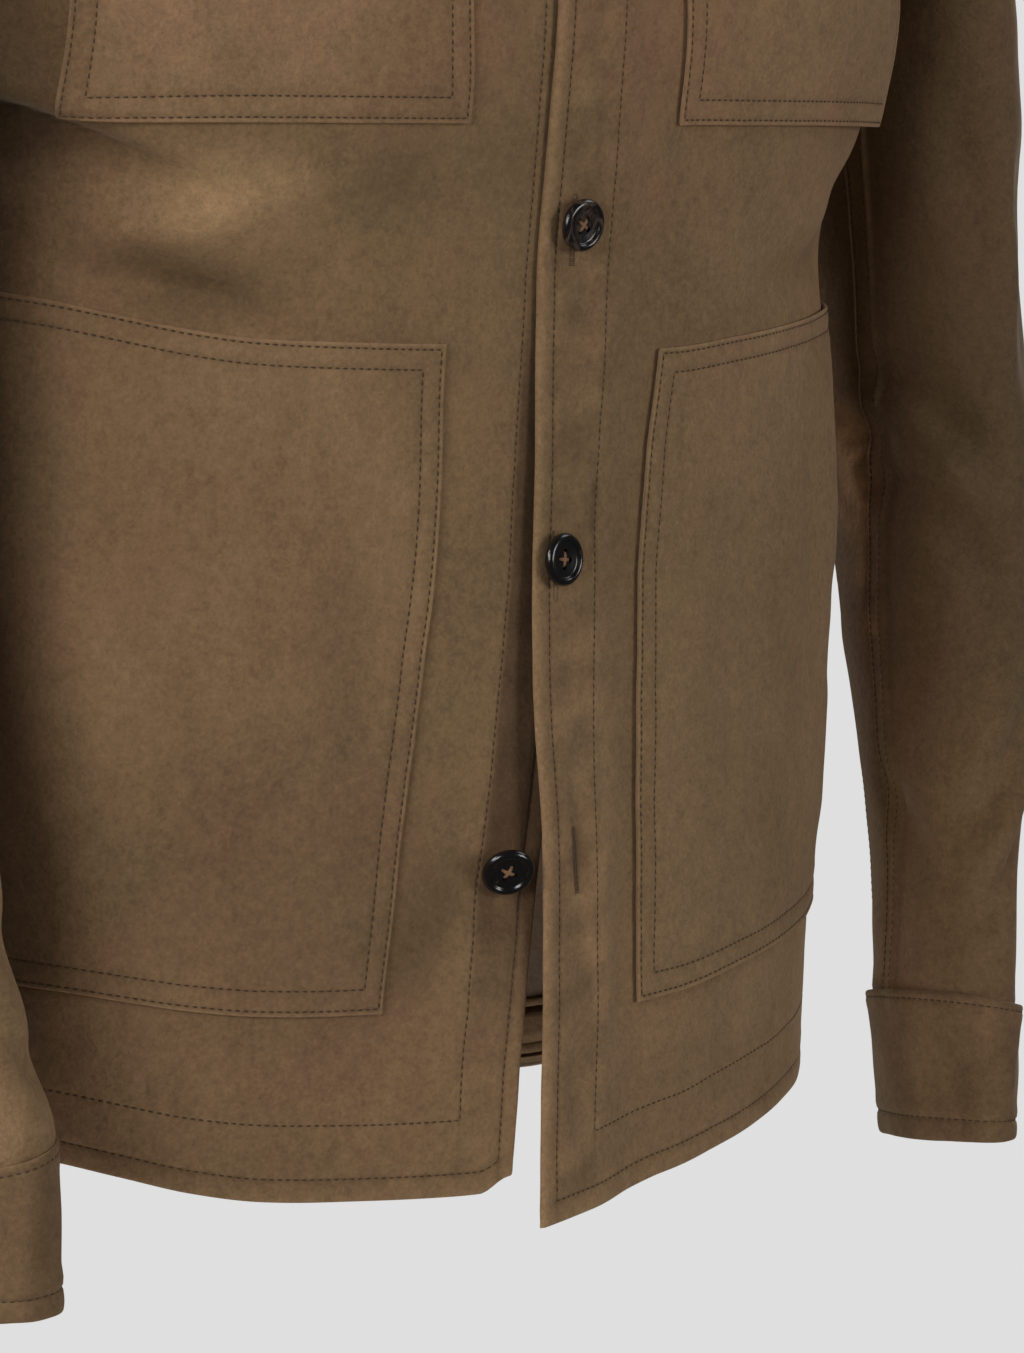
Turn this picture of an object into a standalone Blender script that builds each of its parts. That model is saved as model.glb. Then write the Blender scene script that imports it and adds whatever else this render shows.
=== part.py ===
"""Suede overshirt coat, worn: the hollow garment keeps the form of a general figure.
Metres, +Z up, the wearer faces -Y and +X is the wearer's left.
The origin is the centre of the neck, level with the tops of the shoulder seams.

Every panel is laid out on one torso form. A place on it is (s, w): s is the length of cloth from the
front centre, positive to the wearer's left, and w is the height below the neck. Heights in tables are mm.
"""
from math import cos, pi, radians, sin

import bmesh
import bpy
import numpy as np

MM = 0.001

# ---------------------------------------------------------------- sizes
SUEDE = 1.6 * MM            # wall of the back and the sleeves
FRONT_WALL = 1.8 * MM       # fronts, with their facing
POCKET_WALL = 1.4 * MM
CUFF_WALL = 2.2 * MM
COLLAR_WALL = 2.2 * MM
FACING_WALL = 1.2 * MM
SEAM_GAP = 0.3 * MM         # clear between sewn pieces
LAP = 3.2 * MM              # how far the left front lies out over the right
HEM_LEFT, HEM_RIGHT, HEM_BACK = -0.725, -0.721, -0.726
HEM_FACING = 28 * MM
NECK_HALF = 70 * MM         # half the neck's width at the shoulder seams
NECK_FRONT_DROP = 82 * MM
NECK_BACK_DROP = 20 * MM
SHOULDER_SLOPE = 0.36
UNDERARM = -0.272
POCKET_LOW = {"L": (-0.658, -0.4185), "R": (-0.6525, -0.414)}      # bottom and top of the large pockets
POCKET_CHEST = {"L": (-0.337, -0.190), "R": (-0.336, -0.190)}
STAND_HEIGHT = 33 * MM
BUTTON_D, BUTTON_T = 19.4 * MM, 4.2 * MM
BUTTON_HOLE_D, BUTTON_HOLE_PCD = 1.9 * MM, 5.6 * MM

# torso form: half width, depth to the front and to the back, squareness of the section, centre
TORSO_COLUMNS = ("w", "half_width", "front", "back", "square", "centre_y")
TORSO = np.array([
    (-760, 210.0, 150.0, 142.0, 2.10, 0.0),
    (-720, 211.0, 150.0, 142.0, 2.12, 0.0),
    (-660, 214.0, 150.5, 141.0, 2.15, 0.0),
    (-600, 218.0, 149.0, 140.0, 2.18, 0.0),
    (-520, 222.5, 147.0, 138.0, 2.25, 0.0),
    (-450, 220.5, 146.5, 136.0, 2.28, 0.0),
    (-395, 214.5, 148.0, 135.0, 2.35, 0.0),
    (-340, 220.5, 154.0, 138.0, 2.75, 0.0),
    (-290, 226.0, 159.0, 142.0, 3.05, 0.0),
    (-240, 229.0, 156.0, 144.0, 2.85, 0.0),
    (-180, 232.0, 144.0, 141.0, 2.55, 0.0),
    (-120, 236.0, 122.0, 129.0, 2.40, 0.0),
    (-80, 241.0, 99.0, 112.0, 2.35, 1.0),
    (-50, 246.0, 77.0, 91.0, 2.30, 2.0),
    (-25, 252.0, 54.5, 66.0, 2.30, 3.5),
    (-10, 257.0, 34.0, 41.5, 2.30, 4.5),
    (-2.5, 260.0, 17.0, 20.5, 2.30, 5.0),
    (0, 262.0, 0.5, 0.5, 2.30, 5.0)])

# front edges, mm of cloth from the front centre, and how far each edge stands forward
EDGE_COLUMNS = ("w", "left", "left_facing", "right", "right_facing", "left_tip", "right_tip")
EDGE = np.array([
    (-735, -21.8, 5.0, -33.5, -60.5, 7.5, 3.0),
    (-700, -21.5, 4.6, -30.0, -58.0, 7.5, 3.0),
    (-650, -21.0, 6.0, -26.0, -54.8, 7.5, 3.0),
    (-600, -20.2, 6.2, -17.5, -46.2, 7.5, 2.0),
    (-550, -20.2, 7.6, -7.5, -37.5, 4.5, 1.0),
    (-500, -18.8, 9.4, 3.5, -30.0, 1.8, 0.0),
    (-455, -16.4, 11.6, 8.5, -26.0, 0.8, 0.0),
    (-410, -14.6, 14.4, 11.0, -22.5, -0.6, 0.0),
    (-370, -14.6, 15.2, 12.0, -21.5, -0.8, 0.0),
    (-290, -14.5, 14.2, 12.5, -22.0, -0.5, 0.0),
    (-150, -14.5, 14.0, 13.0, -16.0, 0.0, 0.0),
    (0, -14.5, 14.0, 13.0, -16.0, 0.0, 0.0)])
EDGE_CLOSED_RIGHT = 13.0 * MM

# inner edge of the patch pockets, mm from each front edge
POCKET_EDGE_COLUMNS = ("w", "left", "right")
POCKET_EDGE = np.array([
    (-735, 51.0, 67.5), (-658, 51.0, 67.5), (-560, 52.0, 68.0), (-500, 52.0, 68.0),
    (-455, 54.5, 68.5), (-418, 59.0, 69.0), (-337, 62.5, 67.0), (-290, 59.5, 70.0), (0, 60.0, 68.0)])

# rise of hem, pockets and other level lines towards the sides: mm of cloth from the front centre, mm up
RISE_COLUMNS = ("s", "left", "right")
RISE = np.array([
    (0, 0.0, 0.0), (50, 0.5, 0.0), (90, 5.0, 1.5), (130, 9.5, 4.0), (155, 12.0, 8.0), (180, 14.5, 14.0),
    (205, 16.5, 19.5), (250, 19.0, 25.0), (290, 19.0, 26.0), (320, 12.0, 19.0), (350, 3.0, 9.0),
    (385, -4.0, 0.0), (430, -4.0, -4.0), (600, -4.0, -4.0)])
RISE_SHARE_COLUMNS = ("w", "left", "right")
RISE_SHARE = np.array([
    (-760, 1.00, 1.00), (-722, 1.00, 1.00), (-650, 1.05, 0.70), (-540, 0.90, 0.80), (-412, 0.65, 0.90),
    (-335, 0.05, 0.12), (-290, 0.00, 0.00), (0, 0.00, 0.00)])

# armhole: the share of the section's depth at which it cuts the panel
ARMHOLE_COLUMNS = ("w", "front", "back")
ARMHOLE = np.array([
    (-272, 0.00, 0.00), (-268, 0.085, 0.085), (-258, 0.17, 0.17), (-245, 0.26, 0.27), (-220, 0.39, 0.42),
    (-180, 0.50, 0.54), (-120, 0.56, 0.60), (-60, 0.565, 0.60), (0, 0.565, 0.60)])

# sleeve of the wearer's left arm: centre and half sizes of its section, turn of the section in degrees,
# and how much lower the outer side of the ring is than the inner side
ARM_COLUMNS = ("z", "centre_x", "centre_y", "half_out", "half_fore_aft", "turn", "tilt")
ARM = np.array([
    (-310, 270.0, -34.0, 40.0, 74.0, 4.0, 0.0),
    (-400, 273.0, -47.0, 36.5, 63.0, 6.0, 0.0),
    (-480, 273.5, -62.0, 34.0, 55.0, 8.0, 0.0),
    (-530, 267.0, -73.0, 31.0, 51.0, 9.0, 0.0),
    (-580, 258.6, -85.0, 27.5, 46.5, 10.0, 0.0),
    (-620, 252.5, -92.0, 24.0, 42.5, 11.0, 2.0),
    (-650, 246.6, -98.0, 23.0, 40.5, 12.0, 3.5),
    (-687, 241.0, -103.5, 24.0, 41.0, 12.0, 4.5),
    (-715, 240.0, -106.0, 22.8, 39.5, 12.0, 2.5),
    (-742, 238.5, -108.0, 20.5, 36.5, 12.0, 0.0)])
CAP_END, CUFF_TOP, CUFF_END = -0.310, -0.687, -0.742
SLEEVE_SEAMS = (8, 14)      # columns of the sleeve's front and back seams, between its outer and inner panels

BUTTONS_COLUMNS = ("w", "from_left_edge_mm", "stand_off_mm", "turn_deg", "tip_deg")
BUTTONS = {
    "button_1": (-0.138, 15.0, 1.2, 0.0, 0.0),
    "button_2": (-0.255, 15.0, 1.2, 0.0, 0.0),
    "button_3": (-0.3715, 15.5, 2.6, 2.0, 3.0),
    "button_4": (-0.4925, 11.0, 1.8, 9.0, 0.0)}
BUTTON_OPEN = ("button_5", -0.6025, 16.5, 1.6, -22.0, 30.0)      # on the right front, from its own edge


# ---------------------------------------------------------------- tables
def curve(xs, ys, x):
    """Monotone cubic through the columns of a table, level beyond its ends."""
    xs, ys = np.asarray(xs, float), np.asarray(ys, float)
    h = np.diff(xs)
    d = np.diff(ys) / h
    m = np.zeros(len(xs))
    for k in range(1, len(xs) - 1):
        if d[k - 1] * d[k] > 0:
            w1, w2 = 2 * h[k] + h[k - 1], h[k] + 2 * h[k - 1]
            m[k] = (w1 + w2) / (w1 / d[k - 1] + w2 / d[k])
    m[0], m[-1] = d[0], d[-1]
    x = np.clip(np.asarray(x, float), xs[0], xs[-1])
    k = np.clip(np.searchsorted(xs, x) - 1, 0, len(xs) - 2)
    t = (x - xs[k]) / h[k]
    return ((2 * t**3 - 3 * t**2 + 1) * ys[k] + (t**3 - 2 * t**2 + t) * h[k] * m[k]
            + (-2 * t**3 + 3 * t**2) * ys[k + 1] + (t**3 - t**2) * h[k] * m[k + 1])


def column(table, names, name, x):
    return curve(table[:, 0] * MM, table[:, names.index(name)] * MM, x)


def smooth(lo, hi, x):
    t = np.clip((np.asarray(x, float) - lo) / (hi - lo), 0, 1)
    return t * t * (3 - 2 * t)


# ---------------------------------------------------------------- torso form
def torso(w):
    """Half width, front depth, back depth, squareness and centre of the section at height w."""
    root = np.sqrt(-TORSO[::-1, 0])
    at = np.sqrt(np.maximum(-np.asarray(w, float) / MM, 0))
    a, bf, bb, n, yc = (curve(root, TORSO[::-1, k], at) for k in range(1, 6))
    return a * MM, bf * MM, bb * MM, n, yc * MM


def half_section(w, count=181):
    """The section from front centre to back centre on the wearer's left: x, y and length of cloth."""
    a, bf, bb, n, yc = torso(w)
    th = np.linspace(0, pi, count)
    b = np.where(np.cos(th) >= 0, bf, bb)
    phi = np.arctan2(a * np.sin(th), b * np.cos(th))
    r = (np.abs(np.cos(phi) / b) ** n + np.abs(np.sin(phi) / a) ** n) ** (-1 / n)
    x, y = r * np.sin(phi), yc - r * np.cos(phi)
    return x, y, np.concatenate([[0], np.cumsum(np.hypot(np.diff(x), np.diff(y)))])


def side_seam(w):
    x, y, length = half_section(w)
    return length[90]


def half_girth(w):
    return half_section(w)[2][-1]


def armhole(w, back):
    """Length of cloth from the front centre to the armhole's front or back edge."""
    x, y, length = half_section(w, 361)
    a, bf, bb, n, yc = torso(w)
    share = curve(ARMHOLE[:, 0] * MM, ARMHOLE[:, 2 if back else 1], w)
    return float(np.interp(yc + share * bb if back else yc - share * bf, y, length))


def rise(s, w):
    side = "left" if s >= 0 else "right"
    k = RISE_COLUMNS.index(side)
    return float(curve(RISE[:, 0] * MM, RISE[:, k] * MM, abs(s))
                 * curve(RISE_SHARE[:, 0] * MM, RISE_SHARE[:, k], w))


def form(s, w):
    """The point of the torso form at length s and height w."""
    xs, ys, length = half_section(w)
    x = float(np.interp(abs(s), length, xs)) * (1 if s >= 0 else -1)
    y = float(np.interp(abs(s), length, ys))
    fall = SHOULDER_SLOPE * max(0.0, abs(x) - NECK_HALF) * float(smooth(UNDERARM, 0, w))
    return np.array((x, y, w - fall + rise(s, w)))


def form_normal(s, w, e=2 * MM):
    g = half_girth(w)
    lo, hi = s - e, s + e
    if abs(s) + e > g:
        lo, hi = (s - e, -(2 * g - s - e)) if s > 0 else (2 * g + s - e, s + e)
    along = form(hi, w) - form(lo, w)
    up = form(s, min(w + e, -1e-6)) - form(s, w - e)
    n = np.cross(along, up)
    return n / np.linalg.norm(n)


# ---------------------------------------------------------------- panels as grids of (s, w)
def neck_front(s):
    return -NECK_FRONT_DROP * (1 - min(1.0, max(0.0, s) / NECK_HALF) ** 1.35) ** 0.85


def neck_back(d):
    return -NECK_BACK_DROP * (1 - min(1.0, abs(d) / NECK_HALF) ** 1.9) ** 0.7


ARM_ROWS = [-0.272, -0.264, -0.250, -0.225, -0.190, -0.145, -0.100, -0.065, -0.038, -0.018, -0.006, 0.0]


def front_rows(side):
    low, chest = POCKET_LOW[side], POCKET_CHEST[side]
    hem = HEM_LEFT if side == "L" else HEM_RIGHT
    return [hem, hem + HEM_FACING, low[0], -0.600, -0.545, -0.490, low[1], -0.380, -0.360, chest[0], -0.300] + ARM_ROWS


def front_columns(side, w):
    """Distances from the front edge at which the panel has a column: facing, pockets, side."""
    left = side == "L"
    s_edge = float(column(EDGE, EDGE_COLUMNS, "left" if left else "right", w))
    s_face = float(column(EDGE, EDGE_COLUMNS, "left_facing" if left else "right_facing", w))
    p_pocket = float(column(POCKET_EDGE, POCKET_EDGE_COLUMNS, "left" if left else "right", w))
    out = side_seam(w) if w <= UNDERARM else armhole(w, False)
    out -= SEAM_GAP / 2
    if left:
        closed, swing = s_edge, 0.0
    else:
        closed, swing = -EDGE_CLOSED_RIGHT, s_edge - EDGE_CLOSED_RIGHT
    last = out - closed

    def place(p):
        if left:
            return s_edge + p
        return EDGE_CLOSED_RIGHT - p + swing * max(0.0, 1 - p / last)
    p_face = abs(s_face - s_edge)
    p_neck = NECK_HALF - s_edge if left else NECK_HALF + EDGE_CLOSED_RIGHT
    ps = [0.0, p_face, p_pocket, (p_pocket + p_neck) / 2 + 0.001, p_neck - 0.0006, 0.110, 0.145, 0.180, 0.220]
    ps += [0.220 + (last - 0.220) * 0.5, last]
    return [place(p) for p in ps]


def corner(side, s, w):
    """The free corners at the hem: the left one hangs lower, the right one is rounded up."""
    down = float(smooth(-0.62, -0.725, w))
    if side == "L":
        return -down * 9.5 * MM * float(curve(np.array((-22, 14, 47, 75)) * MM, (1.0, 0.68, 0.16, 0.0), s))
    return down * 5.5 * MM * float(smooth(-0.046, -0.033, s))


def tip(side, s, w):
    left = side == "L"
    edge = float(column(EDGE, EDGE_COLUMNS, "left" if left else "right", w))
    amount = float(column(EDGE, EDGE_COLUMNS, "left_tip" if left else "right_tip", w)) / 0.85
    p = max(0.0, (s - edge) if left else (edge - s))
    return amount * np.exp(-((p / 0.027) ** 1.6))


def front_grid(side):
    """Outer points and normals of a front, hem to shoulder, front edge to side."""
    rows = front_rows(side)
    count = len(front_columns(side, rows[0]))
    points, normals = np.zeros((len(rows), count, 3)), np.zeros((len(rows), count, 3))
    for j in range(count):
        top = 0.0
        for _ in range(8):
            s_top = front_columns(side, top)[j]
            top = neck_front(s_top if side == "L" else -s_top)
        for i, w in enumerate(rows):
            high = float(smooth(POCKET_CHEST[side][1], 0.0, w)) if w > POCKET_CHEST[side][1] else 0.0
            w = w + (top - 0.0) * high
            s = front_columns(side, w)[j]
            normal = form_normal(s, w)
            lift = tip(side, s, w)
            if side == "L":
                edge = float(column(EDGE, EDGE_COLUMNS, "left", w))
                lift += LAP * (1 - float(smooth(0.030, 0.056, s - edge)))
            points[i, j] = form(s, w) + normal * lift + np.array((0, 0, corner(side, s, w)))
            normals[i, j] = normal
    return points, normals


def back_grid():
    rows = [HEM_BACK, HEM_BACK + HEM_FACING, -0.650, -0.590, -0.530, -0.470, -0.415, -0.365, -0.320] + ARM_ROWS
    across = [1.0, 0.87, 0.73, 0.58, 0.43, 0.2995, 0.225, 0.12, 0.0]
    across += [-c for c in across[-2::-1]]
    points, normals = np.zeros((len(rows), len(across), 3)), np.zeros((len(rows), len(across), 3))

    def place(c, w):
        g = half_girth(w)
        seam = side_seam(w) if w <= UNDERARM else armhole(w, True)
        d = abs(c) * (g - seam - SEAM_GAP / 2)
        return (g - d) * (1 if c >= 0 else -1), d
    for j, c in enumerate(across):
        top = 0.0
        for _ in range(8):
            top = neck_back(place(c, top)[1])
        for i, w in enumerate(rows):
            w = w + top * (float(smooth(-0.19, 0.0, w)) if w > -0.19 else 0.0)
            s, d = place(c, w)
            points[i, j], normals[i, j] = form(s, w), form_normal(s, w)
    return points, normals


# ---------------------------------------------------------------- sleeves
def arm_row(z):
    values = [float(curve(ARM[::-1, 0] * MM, ARM[::-1, k], z)) for k in range(1, 7)]
    return [v * MM for v in values[:4]] + [radians(values[4]), values[5] * MM]


def arm_point(alpha, z, out=0.0):
    """Point of the left sleeve's ring: alpha 0 is outer, a quarter turn front, a half inner."""
    cx, cy, p, q, turn, tilt = arm_row(z)
    hi, lo = arm_row(z + MM), arm_row(z - MM)
    along = np.array((lo[0] - hi[0], lo[1] - hi[1], -2 * MM))
    along /= np.linalg.norm(along)
    fore_aft = np.array((sin(turn), cos(turn), 0.0))
    outward = np.cross(fore_aft, -along)
    outward /= np.linalg.norm(outward)
    fore_aft = np.cross(-along, outward)
    point = np.array((cx, cy, z)) + outward * (p + out) * cos(alpha) - fore_aft * (q + out) * sin(alpha)
    return point - np.array((0, 0, tilt * cos(alpha)))


def armhole_loop():
    """Points round the left armhole at the panels' own rows, top, front, underarm, back, with turns."""
    front = [form(armhole(w, False), w) for w in ARM_ROWS[::-1]]
    back = [form(armhole(w, True), w) for w in ARM_ROWS]

    def turns(points):
        d = np.concatenate([[0], np.cumsum([np.linalg.norm(b - a) for a, b in zip(points, points[1:])])])
        return d / d[-1]
    alphas = list(pi * turns(front)) + list(pi + pi * turns(back))[1:-1]
    return front + back[1:-1], alphas


def sleeve_grid():
    loop, alphas = armhole_loop()
    fractions = (0.0, 0.12, 0.28, 0.5, 0.75, 1.0)
    heights = (-0.360, -0.420, -0.480, -0.535, -0.590, -0.640, CUFF_TOP)
    rows = []
    for u in fractions:
        row = []
        for start, alpha in zip(loop, alphas):
            end = arm_point(alpha, CAP_END)
            run = arm_point(alpha, CAP_END - 0.01) - end
            run /= np.linalg.norm(run)
            leave = np.array((1.0, -0.10, -0.35 - 0.275 * (1 - cos(alpha))))
            leave /= np.linalg.norm(leave)
            d = np.linalg.norm(end - start)
            begin = start + leave * 2 * SEAM_GAP
            row.append((2 * u**3 - 3 * u**2 + 1) * begin + (u**3 - 2 * u**2 + u) * d * leave
                       + (-2 * u**3 + 3 * u**2) * end + (u**3 - u**2) * 1.1 * d * run)
        rows.append(row)
    for z in heights:
        rows.append([arm_point(alpha, z) for alpha in alphas])
    return np.array(rows), alphas


def sleeve_panel(grid, normals, cols):
    """One of the sleeve's two panels: its outer and inner points, drawn in from both of its seams."""
    face = grid[:, cols].copy()
    for edge, beside in ((0, 1), (-1, -2)):
        step = face[:, beside] - face[:, edge]
        face[:, edge] += step / np.linalg.norm(step, axis=-1, keepdims=True) * SEAM_GAP * 0.6
    return face, face - normals[:, cols] * SUEDE


# ---------------------------------------------------------------- meshes
def material(name, colour, roughness):
    made = bpy.data.materials.new(name)
    made.use_nodes = True
    shader = made.node_tree.nodes["Principled BSDF"]
    shader.inputs["Base Color"].default_value = (*colour, 1)
    shader.inputs["Roughness"].default_value = roughness
    shader.inputs["Metallic"].default_value = 0.0
    return made


def add_object(name, mesh, look):
    obj = bpy.data.objects.new(name, mesh)
    if not mesh.materials:
        mesh.materials.append(look)
    bpy.context.scene.collection.objects.link(obj)
    mesh.shade_smooth()
    mesh.set_sharp_from_angle(angle=radians(50))
    return obj


def wall(name, outer, inner, look, closed=False):
    """A closed wall between two grids of points, rows x columns. closed joins the last column to the first."""
    rows, cols = outer.shape[:2]
    mesh = bmesh.new()
    a = [[mesh.verts.new(p) for p in row] for row in outer]
    b = [[mesh.verts.new(p) for p in row] for row in inner]
    spans = [(j, (j + 1) % cols) for j in range(cols if closed else cols - 1)]
    for i in range(rows - 1):
        for j, k in spans:
            mesh.faces.new((a[i][j], a[i][k], a[i + 1][k], a[i + 1][j]))
            mesh.faces.new((b[i][j], b[i + 1][j], b[i + 1][k], b[i][k]))
    for i, flip in ((0, False), (rows - 1, True)):
        for j, k in spans:
            face = (a[i][j], b[i][j], b[i][k], a[i][k])
            mesh.faces.new(face[::-1] if flip else face)
    if not closed:
        for j, flip in ((0, True), (cols - 1, False)):
            for i in range(rows - 1):
                face = (a[i][j], b[i][j], b[i + 1][j], a[i + 1][j])
                mesh.faces.new(face[::-1] if flip else face)
    bmesh.ops.recalc_face_normals(mesh, faces=mesh.faces)
    data = bpy.data.meshes.new(name)
    mesh.to_mesh(data)
    mesh.free()
    return add_object(name, data, look)


def mirrored(grid):
    return grid * np.array((-1.0, 1.0, 1.0))


def grid_normals(grid):
    """Normals of a ring grid, pointing away from its axis."""
    along = np.gradient(grid, axis=0)
    around = np.roll(grid, -1, axis=1) - np.roll(grid, 1, axis=1)
    n = np.cross(along, around)
    n /= np.linalg.norm(n, axis=-1, keepdims=True)
    centre = grid.mean(axis=1, keepdims=True)
    if ((grid - centre) * n).sum() < 0:
        n = -n
    return n


def pocket(name, grid, normals, rows, cols, look, trim=0.0):
    """A patch on the panel's own points, moved out; trim pulls its last column in from the seam."""
    points = grid[np.ix_(rows, cols)].copy()
    outward = normals[np.ix_(rows, cols)].copy()
    if trim:
        reach = np.linalg.norm(points[:, -1] - points[:, -2], axis=-1)[:, None]
        points[:, -1] += (points[:, -2] - points[:, -1]) * trim / reach
    wall(name, points + outward * (SEAM_GAP + POCKET_WALL), points + outward * SEAM_GAP, look)


# ---------------------------------------------------------------- neck
def neck_line(left, right, back):
    """The neckline along the panels' own top edges, right front edge round the back to the left front edge,
    with a point halfway along each stretch."""
    def in_neck(row):
        return [p for p in row if abs(p[0]) < NECK_HALF]
    points = in_neck(right[-1]) + in_neck(back[-1][::-1]) + in_neck(left[-1])[::-1]
    line = [points[0]]
    for p, q in zip(points, points[1:]):
        line += [(p + q) / 2, q]
    return np.array(line)


def fall_line(want):
    """Outer edge of the folded collar at shares want of the way round: points of the form and their normals."""
    keys = np.array([          # share of the way from the right collar point, s from front centre in mm, w
        (0.00, 62.0, -168.0), (0.12, 80.0, -112.0), (0.22, 100.0, -60.0), (0.28, 116.0, -22.0), (0.32, 121.0, -4.0),
        (0.345, 120.0, -0.3)])
    half = [form(s, w) for _, s, w in keys * np.array((1, MM, MM))]
    shares = list(keys[:, 0])
    normals = [form_normal(s, w) for _, s, w in keys * np.array((1, MM, MM))]
    normals[-1] = np.array((0.3, 0.0, 0.95))
    for share, d, w in ((0.375, 117.0, -5.0), (0.40, 100.0, -28.0), (0.44, 62.0, -50.0), (0.50, 0.0, -60.0)):
        g = half_girth(w * MM)
        half.append(form(g - d * MM, w * MM))
        normals.append(form_normal(g - max(d, 4.0) * MM, w * MM))
        shares.append(share)
    half, normals = np.array(half), np.array(normals)
    normals[-1, 0] = 0
    points = np.concatenate([mirrored(half), half[::-1][1:]])
    outward = np.concatenate([mirrored(normals), normals[::-1][1:]])
    at = np.array(shares + [1 - v for v in shares[::-1][1:]])
    got = np.stack([curve(at, points[:, k], want) for k in range(3)], -1)
    n = np.stack([curve(at, outward[:, k], want) for k in range(3)], -1)
    return got, n / np.linalg.norm(n, axis=-1, keepdims=True)


def collar(base, look):
    count = len(base)
    centre = np.array((0.0, -8 * MM, 0.0))
    away = base - centre
    away[:, 2] = 0
    away /= np.linalg.norm(away, axis=-1, keepdims=True)
    length = np.concatenate([[0], np.cumsum(np.linalg.norm(np.diff(base, axis=0), axis=1))])
    share = length / length[-1]
    # the two ends lap like the fronts: the right one lies inside
    under = (1 - smooth(0.045, 0.14, share)) * 4.5 * MM
    up = np.array((0, 0, 1.0))
    foot = base + up * 0.8 * MM - away * under[:, None]
    lean = 7 * MM
    outer = np.array([foot + up * STAND_HEIGHT * k - away * lean * k for k in (0.0, 0.5, 1.0)])
    inner = outer - away[None] * COLLAR_WALL
    wall("collar_stand", outer, inner, look)
    top = outer[-1] - away * COLLAR_WALL / 2
    ends, n = fall_line(share)
    ends = ends + n * (8.0 * MM)
    keep = slice(2, count - 2)          # the leaf stops short of the front centre
    start = top + up * (SEAM_GAP + 0.2 * MM)
    crown = start + away * 5 * MM + up * 4.0 * MM
    neck_side = outer[-1] + away * 9 * MM - up * 6 * MM
    lower = neck_side * 0.45 + ends * 0.55 + (away + n) * 4.0 * MM
    leaf = np.array([start, crown, neck_side, lower, ends])[:, keep]
    thick = [-away * 1.1 * MM + up * 0.9 * MM, away * 0.2 * MM + up * COLLAR_WALL * 0.85,
             away * COLLAR_WALL, (away + n) / 2 * COLLAR_WALL * 1.1, n * COLLAR_WALL]
    outside = leaf + np.array([np.broadcast_to(t, (count, 3)) for t in thick])[:, keep]
    wall("collar_leaf", outside, leaf, look)


# ---------------------------------------------------------------- buttons
def button_mesh(look):
    profile = [(0.0, 0.0), (7.2, 0.0), (9.1, 0.8), (9.7, 2.1), (9.2, 3.7), (8.2, 4.2), (6.9, 3.5), (5.8, 2.7), (0.0, 2.6)]
    profile = [(r * BUTTON_D / 19.4, h * BUTTON_T / 4.2) for r, h in profile]
    mesh = bmesh.new()
    segments = 20
    rings = []
    for r, h in profile[1:-1]:
        rings.append([mesh.verts.new((r * cos(2 * pi * k / segments), r * sin(2 * pi * k / segments), h))
                      for k in range(segments)])
    for low, high in zip(rings, rings[1:]):
        for k in range(segments):
            m = (k + 1) % segments
            mesh.faces.new((low[k], low[m], high[m], high[k]))
    mesh.faces.new(rings[0][::-1])
    mesh.faces.new(rings[-1])
    bmesh.ops.recalc_face_normals(mesh, faces=mesh.faces)
    blank = bpy.data.meshes.new("button_blank")
    mesh.to_mesh(blank)
    mesh.free()
    blank_obj = bpy.data.objects.new("button_blank", blank)
    drill = bmesh.new()
    reach = BUTTON_HOLE_PCD / 2 * cos(pi / 4)
    for x in (-reach, reach):
        for y in (-reach, reach):
            made = bmesh.ops.create_cone(drill, cap_ends=True, segments=8, radius1=BUTTON_HOLE_D / 2,
                                         radius2=BUTTON_HOLE_D / 2, depth=0.012)
            bmesh.ops.translate(drill, verts=made["verts"], vec=(x, y, 0.002))
    drill_mesh = bpy.data.meshes.new("button_drill")
    drill.to_mesh(drill_mesh)
    drill.free()
    drill_obj = bpy.data.objects.new("button_drill", drill_mesh)
    for helper in (blank_obj, drill_obj):
        bpy.context.scene.collection.objects.link(helper)
        helper.hide_render = True
        helper.display_type = "WIRE"
    cut = blank_obj.modifiers.new("holes", "BOOLEAN")
    cut.object = drill_obj
    cut.operation = "DIFFERENCE"
    bpy.context.view_layer.update()
    graph = bpy.context.evaluated_depsgraph_get()
    done = bpy.data.meshes.new_from_object(blank_obj.evaluated_get(graph))
    done.name = "button"
    bpy.data.objects.remove(blank_obj)
    bpy.data.objects.remove(drill_obj)
    done.materials.clear()
    done.materials.append(look)
    return done


def place_button(name, mesh, at, facing, tip_deg, look):
    """The disc's back sits at the point at, its face along facing, tipped up or down by tip_deg."""
    from mathutils import Matrix, Vector
    z = Vector(facing).normalized()
    x = Vector((0, 0, 1)).cross(z).normalized()
    y = z.cross(x)
    turn = Matrix((x, y, z)).transposed()
    turn = Matrix.Rotation(radians(tip_deg), 3, x) @ turn
    obj = bpy.data.objects.new(name, mesh)
    obj.matrix_world = Matrix.Translation(Vector(at)) @ turn.to_4x4()
    bpy.context.scene.collection.objects.link(obj)
    return obj


def turned(normal, deg):
    a = radians(deg)
    x, y, z = normal
    return np.array((x * cos(a) - y * sin(a), x * sin(a) + y * cos(a), z))


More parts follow.
